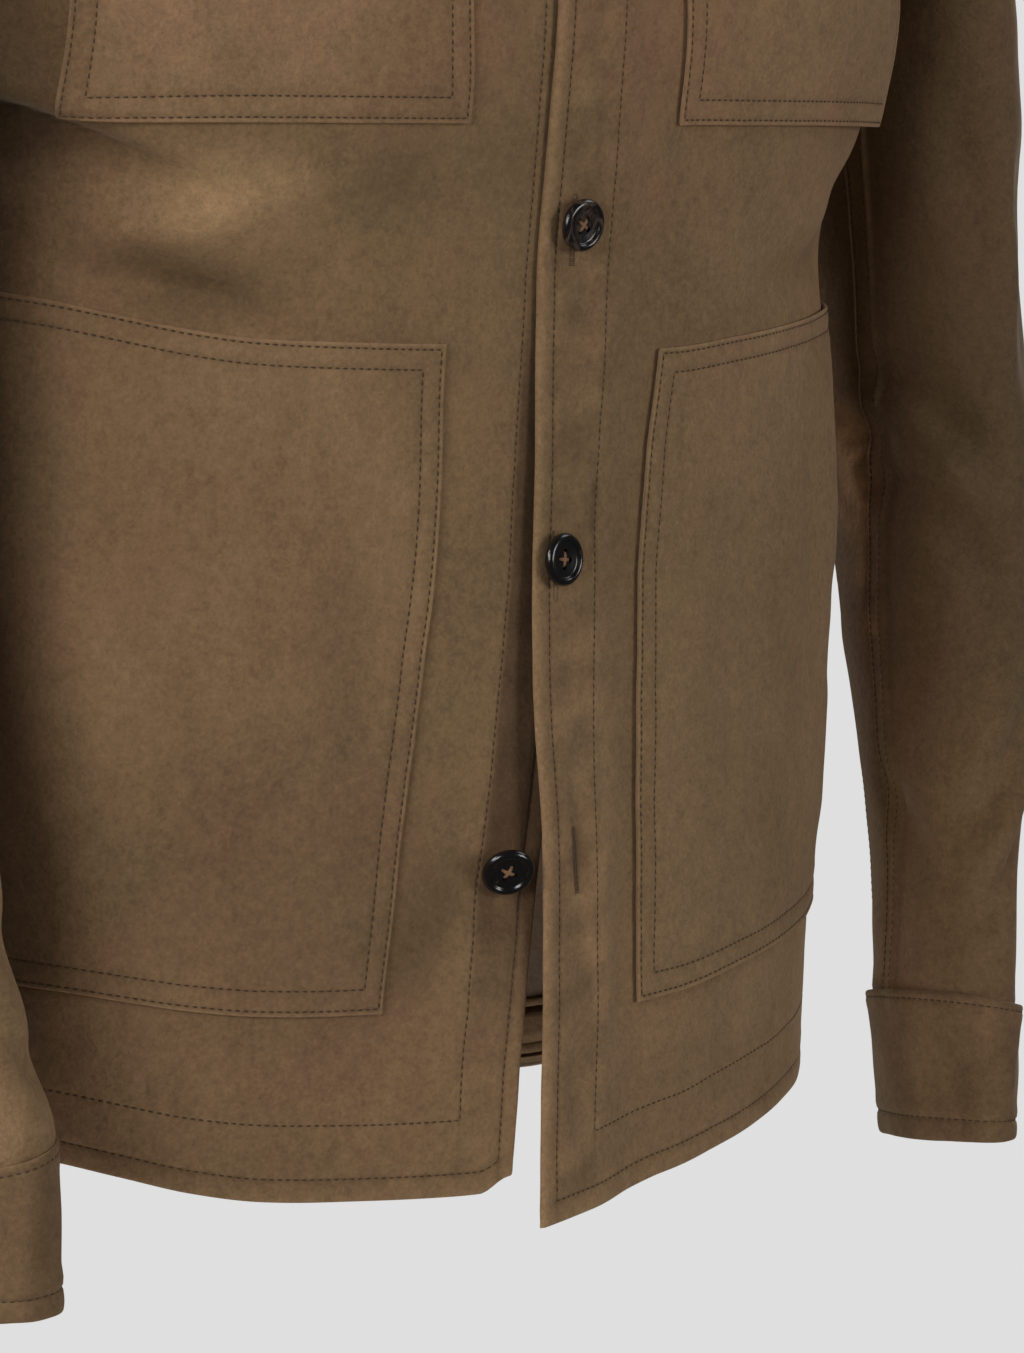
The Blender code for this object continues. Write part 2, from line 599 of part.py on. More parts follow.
# ---------------------------------------------------------------- the coat
def main():
    for obj in list(bpy.data.objects):
        bpy.data.objects.remove(obj)
    suede = material("suede_taupe", (0.150, 0.095, 0.052), 0.92)
    suede_light = material("suede_taupe_pocket", (0.160, 0.102, 0.056), 0.92)
    reverse = material("suede_facing", (0.130, 0.082, 0.046), 0.95)
    horn = material("horn_black", (0.012, 0.010, 0.009), 0.22)

    fronts = {}
    for side, name in (("L", "left"), ("R", "right")):
        grid, normals = front_grid(side)
        fronts[side] = (grid, normals)
        wall("front_" + name, grid, grid - normals * FRONT_WALL, suede)
        rows = front_rows(side)
        low = [i for i, w in enumerate(rows) if POCKET_LOW[side][0] <= w <= POCKET_LOW[side][1]]
        chest = [i for i, w in enumerate(rows) if POCKET_CHEST[side][0] <= w <= POCKET_CHEST[side][1]]
        pocket("pocket_low_" + name, grid, normals, low, list(range(2, 11)), suede_light, trim=4 * MM)
        pocket("pocket_chest_" + name, grid, normals, chest, list(range(2, 9)), suede_light)

    grid, normals = back_grid()
    wall("back", grid, grid - normals * SUEDE, suede)
    strip, out = grid[:2].copy(), normals[:2]
    strip[0] += (strip[1] - strip[0]) * 0.03
    strip = strip[:, 1:-1]
    out = out[:, 1:-1]
    wall("back_hem_facing", strip - out * (SUEDE + SEAM_GAP), strip - out * (SUEDE + SEAM_GAP + FACING_WALL), reverse)

    sleeve, alphas = sleeve_grid()
    inward = grid_normals(sleeve)
    cuff = np.array([[arm_point(a, z, 0.8 * MM) for a in alphas] for z in (CUFF_TOP - 2 * SEAM_GAP, -0.715, CUFF_END)])
    cuff_normals = grid_normals(cuff)
    inner_cols = list(range(SLEEVE_SEAMS[0], SLEEVE_SEAMS[1] + 1))
    outer_cols = list(range(SLEEVE_SEAMS[1], len(alphas))) + list(range(0, SLEEVE_SEAMS[0] + 1))
    for name, turn in (("left", lambda g: g), ("right", mirrored)):
        for panel, cols in (("outer", outer_cols), ("inner", inner_cols)):
            face, back_face = sleeve_panel(sleeve, inward, cols)
            wall("sleeve_" + panel + "_" + name, turn(face), turn(back_face), suede)
        wall("cuff_" + name, turn(cuff), turn(cuff - cuff_normals * CUFF_WALL), suede, closed=True)

    base = neck_line(fronts["L"][0], fronts["R"][0], grid)
    collar(base, suede)

    mesh = button_mesh(horn)
    for name, (w, p, off, turn, tipped) in BUTTONS.items():
        s = float(column(EDGE, EDGE_COLUMNS, "left", w)) + p * MM
        normal = form_normal(s, w)
        at = form(s, w) + normal * (LAP + tip("L", s, w) + off * MM)
        place_button(name, mesh, at, turned(normal, turn), tipped, horn)
    name, w, p, off, turn, tipped = BUTTON_OPEN
    s = float(column(EDGE, EDGE_COLUMNS, "right", w)) - p * MM
    normal = form_normal(s, w)
    reach = BUTTON_D / 2 * (sin(radians(abs(turn))) * 0.6 + sin(radians(abs(tipped))) * 0.5)
    at = form(s, w) + normal * (tip("R", s, w) + off * MM + reach)
    place_button(name, mesh, at, turned(normal, turn), tipped, horn)
    # the collar stand's own button, at the front centre
    at = base[-1] + np.array((14.5 * MM, -1.2 * MM, 11 * MM))
    place_button("button_collar", mesh, at, (0, -1, 0.15), 0.0, horn)


main()
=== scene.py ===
"""Suede overshirt coat: the looks. Metres, +Z up, the wearer faces -Y, +X is the wearer's left.
A place on the coat's cloth is (s, w): s is the length of cloth from the front centre, w the height below the neck.
Tables are in mm unless they say otherwise.
"""
import bpy
import numpy as np
from math import pi, radians, sin, cos
from mathutils import Matrix, Vector

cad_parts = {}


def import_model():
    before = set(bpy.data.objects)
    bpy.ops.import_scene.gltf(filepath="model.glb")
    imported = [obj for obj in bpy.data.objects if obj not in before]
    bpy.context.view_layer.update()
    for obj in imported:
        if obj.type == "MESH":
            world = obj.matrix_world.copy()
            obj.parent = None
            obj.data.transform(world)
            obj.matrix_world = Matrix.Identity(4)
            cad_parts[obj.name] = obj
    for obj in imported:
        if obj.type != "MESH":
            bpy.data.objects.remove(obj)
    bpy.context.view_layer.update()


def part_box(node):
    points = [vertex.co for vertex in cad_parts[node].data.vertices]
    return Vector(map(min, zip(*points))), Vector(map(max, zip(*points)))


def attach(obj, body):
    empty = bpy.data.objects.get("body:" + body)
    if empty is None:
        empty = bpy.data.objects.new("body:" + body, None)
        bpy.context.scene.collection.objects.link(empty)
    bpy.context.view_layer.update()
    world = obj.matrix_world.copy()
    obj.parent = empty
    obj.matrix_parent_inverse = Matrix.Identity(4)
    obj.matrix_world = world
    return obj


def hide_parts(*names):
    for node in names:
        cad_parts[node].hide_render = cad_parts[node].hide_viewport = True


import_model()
MM = 0.001

# ------------------------------------------------------------------ sizes, as the construction has them
SEAM_GAP, LAP = 0.3 * MM, 3.2 * MM
HEM_LEFT, HEM_RIGHT, HEM_BACK, HEM_FACING = -0.725, -0.721, -0.7295, 0.028
NECK_HALF, NECK_FRONT_DROP, NECK_BACK_DROP = 70 * MM, 82 * MM, 20 * MM
SHOULDER_SLOPE, UNDERARM = 0.36, -0.272
POCKET_LOW = {"L": (-0.658, -0.4185), "R": (-0.6525, -0.414)}
POCKET_CHEST = {"L": (-0.337, -0.190), "R": (-0.336, -0.190)}
STAND_HEIGHT, COLLAR_WALL = 33 * MM, 2.2 * MM
BUTTON_D, BUTTON_T = 19.4 * MM, 4.2 * MM

TORSO = np.array([      # w, half_width, front, back, square, centre_y
    (-760, 210.0, 150.0, 142.0, 2.10, 0.0), (-720, 211.0, 150.0, 142.0, 2.12, 0.0),
    (-660, 214.0, 150.5, 141.0, 2.15, 0.0), (-600, 218.0, 149.0, 140.0, 2.18, 0.0),
    (-520, 222.5, 147.0, 138.0, 2.25, 0.0), (-450, 220.5, 146.5, 136.0, 2.28, 0.0),
    (-395, 214.5, 148.0, 135.0, 2.35, 0.0), (-340, 220.5, 154.0, 138.0, 2.75, 0.0),
    (-290, 226.0, 159.0, 142.0, 3.05, 0.0), (-240, 229.0, 156.0, 144.0, 2.85, 0.0),
    (-180, 232.0, 144.0, 141.0, 2.55, 0.0), (-120, 236.0, 122.0, 129.0, 2.40, 0.0),
    (-80, 241.0, 99.0, 112.0, 2.35, 1.0), (-50, 246.0, 77.0, 91.0, 2.30, 2.0),
    (-25, 252.0, 54.5, 66.0, 2.30, 3.5), (-10, 257.0, 34.0, 41.5, 2.30, 4.5),
    (-2.5, 260.0, 17.0, 20.5, 2.30, 5.0), (0, 262.0, 0.5, 0.5, 2.30, 5.0)])
EDGE_COLUMNS = ("w", "left", "left_facing", "right", "right_facing", "left_tip", "right_tip")
EDGE = np.array([
    (-735, -25.6, 5.0, -33.5, -60.5, 7.5, 3.0), (-700, -25.5, 4.6, -30.0, -58.0, 7.5, 3.0),
    (-650, -25.0, 6.0, -26.0, -54.8, 7.5, 3.0), (-600, -23.8, 6.2, -17.5, -46.2, 7.5, 2.0),
    (-550, -23.7, 7.6, -7.5, -37.5, 4.5, 1.0), (-500, -21.9, 9.4, 3.5, -30.0, 1.8, 0.0),
    (-455, -19.3, 11.6, 8.5, -26.0, 0.8, 0.0), (-410, -18.3, 14.4, 11.0, -22.5, -0.6, 0.0),
    (-370, -18.5, 15.2, 12.0, -21.5, -0.8, 0.0), (-290, -18.3, 14.2, 12.5, -22.0, -0.5, 0.0),
    (-150, -14.5, 14.0, 13.0, -16.0, 0.0, 0.0), (0, -14.5, 14.0, 13.0, -16.0, 0.0, 0.0)])
EDGE_CLOSED_RIGHT = 13.0 * MM
POCKET_EDGE = np.array([      # w, left, right: inner edge of the pockets from each front edge
    (-735, 54.8, 67.5), (-658, 54.8, 67.5), (-560, 55.6, 68.0), (-500, 55.2, 68.0),
    (-455, 57.4, 68.5), (-418, 62.7, 69.0), (-337, 66.3, 67.0), (-290, 63.3, 70.0), (-150, 62.0, 68.0), (0, 60.0, 68.0)])
RISE = np.array([             # s, left, right
    (0, 0.0, 0.0), (50, 0.5, 0.0), (90, 5.0, 1.5), (130, 9.5, 4.0), (155, 12.0, 8.0), (180, 14.5, 14.0),
    (205, 16.5, 19.5), (250, 19.0, 25.0), (290, 19.0, 26.0), (320, 12.0, 19.0), (350, 3.0, 9.0),
    (385, -4.0, 0.0), (430, -4.0, -4.0), (600, -4.0, -4.0)])
RISE_SHARE = np.array([       # w, left, right
    (-760, 1.00, 1.00), (-722, 1.00, 1.00), (-650, 1.05, 0.70), (-540, 0.90, 0.80), (-412, 0.65, 0.90),
    (-335, 0.05, 0.12), (-290, 0.00, 0.00), (0, 0.00, 0.00)])
ARMHOLE = np.array([          # w, front, back: share of the section's depth
    (-272, 0.00, 0.00), (-268, 0.085, 0.085), (-258, 0.17, 0.17), (-245, 0.26, 0.27), (-220, 0.39, 0.42),
    (-180, 0.50, 0.54), (-120, 0.56, 0.60), (-60, 0.565, 0.60), (0, 0.565, 0.60)])
ARM = np.array([              # z, centre_x, centre_y, half_out, half_fore_aft, turn (degrees), tilt
    (-310, 270.0, -34.0, 40.0, 74.0, 4.0, 0.0), (-400, 273.0, -47.0, 36.5, 63.0, 6.0, 0.0),
    (-480, 273.5, -62.0, 34.0, 55.0, 8.0, 0.0), (-530, 267.0, -73.0, 31.0, 51.0, 9.0, 0.0),
    (-580, 258.6, -85.0, 27.5, 46.5, 10.0, 0.0), (-620, 252.5, -92.0, 24.0, 42.5, 11.0, 2.0),
    (-650, 246.6, -98.0, 23.0, 40.5, 12.0, 3.5), (-687, 241.0, -103.5, 24.0, 41.0, 12.0, 4.5),
    (-715, 240.0, -106.0, 22.8, 39.5, 12.0, 2.5), (-742, 238.5, -108.0, 20.5, 36.5, 12.0, 0.0)])
CAP_END, CUFF_TOP, CUFF_END = -0.310, -0.687, -0.742
BUTTONS = {                   # w (m), mm from the left edge, stand off, turn (degrees), tip (degrees)
    "button_1": (-0.138, 15.0, 1.2, 0.0, 0.0), "button_2": (-0.255, 15.0, 1.2, 0.0, 0.0),
    "button_3": (-0.3715, 15.5, 2.6, 2.0, 3.0), "button_4": (-0.4925, 11.0, 1.8, 9.0, 0.0)}
BUTTON_OPEN = ("button_5", -0.6025, 18.6, 1.6, -22.0, 30.0)


# ------------------------------------------------------------------ curves
def curve(xs, ys, x):
    """Monotone cubic through the columns of a table, level beyond its ends."""
    xs, ys = np.asarray(xs, float), np.asarray(ys, float)
    h = np.diff(xs)
    d = np.diff(ys) / h
    m = np.zeros(len(xs))
    for k in range(1, len(xs) - 1):
        if d[k - 1] * d[k] > 0:
            w1, w2 = 2 * h[k] + h[k - 1], h[k] + 2 * h[k - 1]
            m[k] = (w1 + w2) / (w1 / d[k - 1] + w2 / d[k])
    m[0], m[-1] = d[0], d[-1]
    x = np.clip(np.asarray(x, float), xs[0], xs[-1])
    k = np.clip(np.searchsorted(xs, x) - 1, 0, len(xs) - 2)
    t = (x - xs[k]) / h[k]
    return ((2 * t**3 - 3 * t**2 + 1) * ys[k] + (t**3 - 2 * t**2 + t) * h[k] * m[k]
            + (-2 * t**3 + 3 * t**2) * ys[k + 1] + (t**3 - t**2) * h[k] * m[k + 1])


def edge_col(name, w):
    return curve(EDGE[:, 0] * MM, EDGE[:, EDGE_COLUMNS.index(name)] * MM, w)


def smooth(lo, hi, x):
    t = np.clip((np.asarray(x, float) - lo) / (hi - lo), 0, 1)
    return t * t * (3 - 2 * t)


def bell(x):
    return np.exp(-np.square(x))


def unit(a):
    return a / np.maximum(np.linalg.norm(a, axis=-1, keepdims=True), 1e-12)


# ------------------------------------------------------------------ torso form, as a lookup of (height, share of girth)
NV, NU = 1301, 601
V = np.linspace(0.0, np.sqrt(775.0), NV)
_root = np.sqrt(-TORSO[::-1, 0])
_a, _bf, _bb, _n, _yc = (curve(_root, TORSO[::-1, k], V)[:, None] for k in range(1, 6))
_th = np.linspace(0, pi, 721)[None]
_b = np.where(np.cos(_th) >= 0, _bf, _bb)
_phi = np.arctan2(_a * np.sin(_th), _b * np.cos(_th))
_r = (np.abs(np.cos(_phi) / _b) ** _n + np.abs(np.sin(_phi) / _a) ** _n) ** (-1 / _n)
_x, _y = _r * np.sin(_phi) * MM, (_yc - _r * np.cos(_phi)) * MM
_len = np.concatenate([np.zeros((NV, 1)), np.cumsum(np.hypot(np.diff(_x, axis=1), np.diff(_y, axis=1)), axis=1)], 1)
GIRTH, SIDE = _len[:, -1].copy(), _len[:, 360].copy()
GX, GY = np.zeros((NV, NU)), np.zeros((NV, NU))
ARM_F, ARM_B = np.zeros(NV), np.zeros(NV)
_share_f = curve(ARMHOLE[:, 0], ARMHOLE[:, 1], -V**2)
_share_b = curve(ARMHOLE[:, 0], ARMHOLE[:, 2], -V**2)
for _i in range(NV):
    _at = np.linspace(0, GIRTH[_i], NU)
    GX[_i], GY[_i] = np.interp(_at, _len[_i], _x[_i]), np.interp(_at, _len[_i], _y[_i])
    ARM_F[_i] = np.interp((_yc[_i, 0] - _share_f[_i] * _bf[_i, 0]) * MM, _y[_i], _len[_i])
    ARM_B[_i] = np.interp((_yc[_i, 0] + _share_b[_i] * _bb[_i, 0]) * MM, _y[_i], _len[_i])


def row_of(w):
    return np.clip(np.sqrt(np.maximum(-np.asarray(w, float) / MM, 0)) / V[-1] * (NV - 1), 0, NV - 1.000001)


def look(table, w):
    i = row_of(w)
    k = i.astype(int)
    return table[k] * (1 - (i - k)) + table[k + 1] * (i - k)


def rise(s, w):
    left = curve(RISE[:, 0] * MM, RISE[:, 1] * MM, np.abs(s)) * curve(RISE_SHARE[:, 0] * MM, RISE_SHARE[:, 1], w)
    right = curve(RISE[:, 0] * MM, RISE[:, 2] * MM, np.abs(s)) * curve(RISE_SHARE[:, 0] * MM, RISE_SHARE[:, 2], w)
    return np.where(s >= 0, left, right)


def wrap(s, w):
    g = look(GIRTH, w)
    return np.where(s > g, s - 2 * g, np.where(s < -g, s + 2 * g, s)), g


def form(s, w):
    """Points of the torso form at lengths s and heights w."""
    s, w = np.broadcast_arrays(np.asarray(s, float), np.minimum(np.asarray(w, float), 0.0))
    s, g = wrap(s, w)
    i, u = row_of(w), np.clip(np.abs(s) / np.maximum(g, 1e-9) * (NU - 1), 0, NU - 1.000001)
    k, j = i.astype(int), u.astype(int)
    fi, fu = i - k, u - j

    def at(t):
        return (t[k, j] * (1 - fi) * (1 - fu) + t[k + 1, j] * fi * (1 - fu)
                + t[k, j + 1] * (1 - fi) * fu + t[k + 1, j + 1] * fi * fu)
    x, y = at(GX), at(GY)
    z = w - SHOULDER_SLOPE * np.maximum(0, x - NECK_HALF) * smooth(UNDERARM, 0, w) + rise(s, w)
    return np.stack([x * np.sign(s), y, z], -1)


def form_normal(s, w, e=2.0 * MM):
    s, w = np.broadcast_arrays(np.asarray(s, float), np.minimum(np.asarray(w, float), -1e-6))
    along = form(s + e, w) - form(s - e, w)
    up = form(s, np.minimum(w + e, -1e-6)) - form(s, w - e)
    return unit(np.cross(along, up))


# ------------------------------------------------------------------ folds
def path_points(path, per=6):
    """A smooth line through the few points of a fold."""
    p = np.asarray(path, float)
    if len(p) < 3:
        return p
    q = np.vstack([2 * p[0] - p[1], p, 2 * p[-1] - p[-2]])
    out = []
    for k in range(1, len(q) - 2):
        t = np.linspace(0, 1, per, endpoint=False)[:, None]
        a, b, c, d = q[k - 1], q[k], q[k + 1], q[k + 2]
        out.append(0.5 * (2 * b + (c - a) * t + (2 * a - 5 * b + 4 * c - d) * t**2 + (3 * b - a - 3 * c + d) * t**3))
    return np.vstack(out + [p[-1:]])


def folds(x, y, table):
    """The sum of soft troughs and ridges at places x, y (mm). Each row: depth, width on the path's right, width on its
    left, share of the path over which it fades in and out, and the path."""
    total = np.zeros(np.shape(x))
    for depth, wide_r, wide_l, fade_in, fade_out, path in table:
        line = path_points(path)
        reach = 2.6 * max(wide_r, wide_l)
        near = ((x > line[:, 0].min() - reach) & (x < line[:, 0].max() + reach)
                & (y > line[:, 1].min() - reach) & (y < line[:, 1].max() + reach))
        if not near.any():
            continue
        px, py = x[near], y[near]
        best, where, side = np.full(px.shape, 1e9), np.zeros(px.shape), np.ones(px.shape)
        seg = np.linalg.norm(np.diff(line, axis=0), axis=1)
        run = np.concatenate([[0], np.cumsum(seg)])
        for k in range(len(line) - 1):
            d = line[k + 1] - line[k]
            t = np.clip(((px - line[k, 0]) * d[0] + (py - line[k, 1]) * d[1]) / max(seg[k] ** 2, 1e-9), 0, 1)
            ex, ey = px - line[k, 0] - t * d[0], py - line[k, 1] - t * d[1]
            dist = np.hypot(ex, ey)
            closer = dist < best
            best = np.where(closer, dist, best)
            where = np.where(closer, (run[k] + t * seg[k]) / run[-1], where)
            side = np.where(closer, d[0] * ey - d[1] * ex, side)
        strength = smooth(0, max(fade_in, 1e-3), where) * (1 - smooth(1 - max(fade_out, 1e-3), 1.0, where))
        total[near] += depth * strength * bell(best / np.where(side > 0, wide_l, wide_r))
    return total


def waves(x, y, seed, size, octaves=2):
    """Smooth unevenness of about one unit height, from a few crossing sine waves."""
    rng = np.random.default_rng(seed)
    total = np.zeros(np.shape(x))
    for o in range(octaves):
        for _ in range(5):
            a, ph = rng.uniform(0, 2 * pi), rng.uniform(0, 2 * pi)
            k = 2 * pi / (size / 2**o) * rng.uniform(0.7, 1.3)
            total = total + np.sin((x * cos(a) + y * sin(a)) * k + ph) * 0.5**o
    return total / 3.2


# depth, width right, width left, fade in, fade out, path of (s, w)
FRONT_FOLDS = [
    (-3.2, 3.2, 6, 0.02, 0.55, [(-262, -332), (-232, -335), (-214, -339), (-184, -351), (-163, -360), (-138, -369)]),
    (2.6, 7, 7, 0.02, 0.55, [(-262, -320), (-228, -325), (-206, -331), (-176, -343), (-150, -354)]),
    (-2.6, 7, 5, 0.20, 0.45, [(-214, -399), (-186, -402), (-160, -402), (-132, -398), (-104, -392)]),
    (-1.6, 7, 5, 0.25, 0.50, [(-104, -344), (-82, -348), (-60, -346), (-44, -338)]),
    (1.8, 9, 8, 0.30, 0.50, [(-206, -384), (-176, -385), (-146, -378), (-120, -368)]),
    # the wearer's right: drag lines from the side to the front under the chest pocket, and the waist's troughs
    (-9.5, 22, 4.5, 0.02, 0.60, [(-262, -330), (-229, -336), (-205, -343), (-170, -356), (-128, -370)]),
    (4.0, 13, 12, 0.10, 0.60, [(-250, -314), (-215, -321), (-170, -334), (-120, -352)]),
    (-8.0, 20, 14, 0.25, 0.60, [(-205, -404), (-166, -397), (-132, -384), (-100, -366), (-50, -348)]),
    (-3.6, 9, 9, 0.25, 0.35, [(-190, -396), (-160, -401), (-130, -404), (-98, -402)]),
    (5.0, 18, 13, 0.30, 0.40, [(-186, -374), (-150, -376), (-112, -366), (-76, -344)]),
    (-7.0, 16, 10, 0.05, 0.50, [(-296, -352), (-262, -366), (-232, -384), (-206, -398)]),
    (-2.2, 14, 20, 0.30, 0.50, [(-40, -590), (-58, -612), (-76, -642), (-92, -684)]),
    (1.7, 14, 14, 0.30, 0.40, [(-36, -612), (-48, -640), (-62, -672)]),
    (-1.8, 26, 18, 0.35, 0.35, [(-172, -452), (-178, -520), (-170, -600)]),
    (1.8, 30, 26, 0.35, 0.35, [(-118, -448), (-124, -520), (-112, -590)]),
    (-1.5, 20, 20, 0.40, 0.40, [(-90, -470), (-98, -540), (-112, -610)]),
    (-1.6, 12, 16, 0.30, 0.50, [(-246, -440), (-238, -520), (-244, -600)]),
    (-1.6, 22, 14, 0.35, 0.45, [(-150, -668), (-120, -690), (-80, -700)]),
    # the wearer's left
    (-5.0, 12, 18, 0.05, 0.55, [(262, -344), (226, -352), (186, -366), (140, -372)]),
    (-4.6, 14, 11, 0.30, 0.35, [(205, -398), (170, -396), (130, -402), (92, -400)]),
    (2.0, 14, 14, 0.30, 0.40, [(196, -380), (150, -380), (112, -386)]),
    (-1.8, 14, 18, 0.40, 0.45, [(52, -306), (60, -346), (58, -392)]),
    (-1.6, 16, 24, 0.35, 0.35, [(92, -446), (86, -520), (78, -600)]),
    (1.6, 22, 18, 0.35, 0.35, [(124, -450), (118, -530), (112, -610)]),
    (-1.7, 16, 16, 0.35, 0.35, [(168, -440), (160, -520), (166, -600)]),
    (-1.6, 16, 12, 0.30, 0.40, [(28, -520), (24, -590), (32, -660)]),
    (-1.5, 18, 18, 0.40, 0.40, [(60, -676), (96, -690), (140, -690)]),
    # above the waist, out of the photo
    (-2.6, 16, 12, 0.30, 0.50, [(206, -96), (176, -140), (140, -178), (100, -190)]),
    (-2.6, 12, 16, 0.30, 0.50, [(-206, -96), (-176, -140), (-140, -180), (-100, -196)]),
    (-2.2, 14, 12, 0.20, 0.60, [(226, -232), (206, -226), (176, -230)]),
    (-2.2, 12, 14, 0.20, 0.60, [(-226, -236), (-202, -228), (-172, -234)]),
]
# the same for the back; the first number of a place is the length of cloth from the back centre
BACK_FOLDS = [
    (-5.0, 14, 10, 0.06, 0.50, [(285, -350), (240, -362), (180, -384), (110, -398), (50, -402)]),
    (-5.0, 10, 14, 0.06, 0.50, [(-285, -346), (-236, -360), (-176, -386), (-100, -400), (-44, -402)]),
    (3.0, 16, 16, 0.20, 0.50, [(270, -392), (206, -404), (140, -424), (70, -432)]),
    (3.0, 16, 16, 0.20, 0.50, [(-266, -388), (-196, -404), (-128, -428), (-60, -434)]),
    (-3.4, 14, 12, 0.15, 0.55, [(270, -430), (200, -446), (130, -456)]),
    (-3.0, 12, 14, 0.15, 0.55, [(-262, -436), (-190, -450), (-116, -458)]),
    (-3.4, 22, 18, 0.30, 0.40, [(30, -300), (24, -360), (34, -430), (60, -520)]),
    (-2.6, 18, 22, 0.30, 0.40, [(-60, -330), (-46, -400), (-50, -480), (-80, -560)]),
    (-3.2, 20, 26, 0.30, 0.40, [(150, -500), (158, -580), (146, -680)]),
    (-3.2, 26, 20, 0.30, 0.40, [(-140, -500), (-154, -590), (-150, -690)]),
    (2.6, 26, 26, 0.30, 0.30, [(96, -500), (92, -590), (84, -700)]),
    (2.4, 26, 26, 0.30, 0.30, [(-90, -510), (-96, -600), (-84, -700)]),
    (-3.6, 14, 18, 0.10, 0.50, [(206, -150), (184, -200), (170, -252), (176, -300)]),
    (-3.6, 18, 14, 0.10, 0.50, [(-206, -150), (-186, -204), (-174, -256), (-182, -304)]),
    (-2.2, 20, 14, 0.30, 0.40, [(110, -120), (60, -150), (0, -158), (-60, -148), (-112, -122)]),
]


def fold_at(s, w):
    """How far the worn cloth stands off the form."""
    s, w = np.broadcast_arrays(np.asarray(s, float), np.asarray(w, float))
    s, g = wrap(s, w)
    d = np.where(s >= 0, g - s, -(g + s))
    x, y, dx = s / MM, w / MM, d / MM
    back = smooth(200, 330, np.abs(x))
    out = folds(x, y, FRONT_FOLDS) + 1.4 * folds(dx, y, BACK_FOLDS) * back
    uneven = (waves(x, y, 5, 120) * 0.75 + waves(x, y, 9, 52) * 0.28) * (1 - back) + (
        waves(dx, y, 6, 120) * 1.0 + waves(dx, y, 8, 56) * 0.35) * back
    seam = 1 - 0.9 * bell((np.abs(x) - look(SIDE, w) / MM) / 10)
    calm = smooth(0.0, -0.03, w) * (1 - 0.75 * bell((x) / 24))
    return (out * smooth(-0.004, -0.05, w) + uneven * calm * seam) * MM


def cloth(s, w, lift=0.0):
    """Points of the worn cloth, lifted off it along the form's own normal."""
    n = form_normal(s, w)
    return form(s, w) + n * (fold_at(s, w) + lift)[..., None]


# ------------------------------------------------------------------ sheets of cloth
def spaced(marks, step, fine=(), fine_step=0.45 * MM, fine_reach=1.5 * MM):
    """Values from the first mark to the last, about step apart, through every mark, and closer at the fine ones."""
    keys = sorted(set(list(marks) + [f + k for f in fine for k in (-fine_reach, 0.0, fine_reach)
                                     if marks[0] < f + k < marks[-1]]))
    out = [keys[0]]
    for lo, hi in zip(keys, keys[1:]):
        if hi - lo < 1e-7:
            continue
        here = fine_step if any(abs((lo + hi) / 2 - f) < fine_reach for f in fine) else step
        count = max(1, int(round((hi - lo) / here)))
        out += list(lo + (hi - lo) * np.arange(1, count + 1) / count)
    return np.array(out)


def ends_fine(lo, hi, r):
    """Marks that bunch up at both ends, for a rounded edge of radius r."""
    k = np.array([0.0, 0.10, 0.32, 0.65, 1.0, 1.6]) * r
    return list(lo + k) + list(hi - k[::-1])


def grid_normal(p, closed=False):
    if closed:
        q = np.concatenate([p[:, -2:-1], p, p[:, 1:2]], 1)
        du = np.gradient(q, axis=1)[:, 1:-1]
    else:
        du = np.gradient(p, axis=1)
    return unit(np.cross(du, np.gradient(p, axis=0)))


def round_off(d, r):
    t = np.clip(d / r, 0, 1)
    return np.sqrt(np.maximum(1 - (1 - t) ** 2, 0))


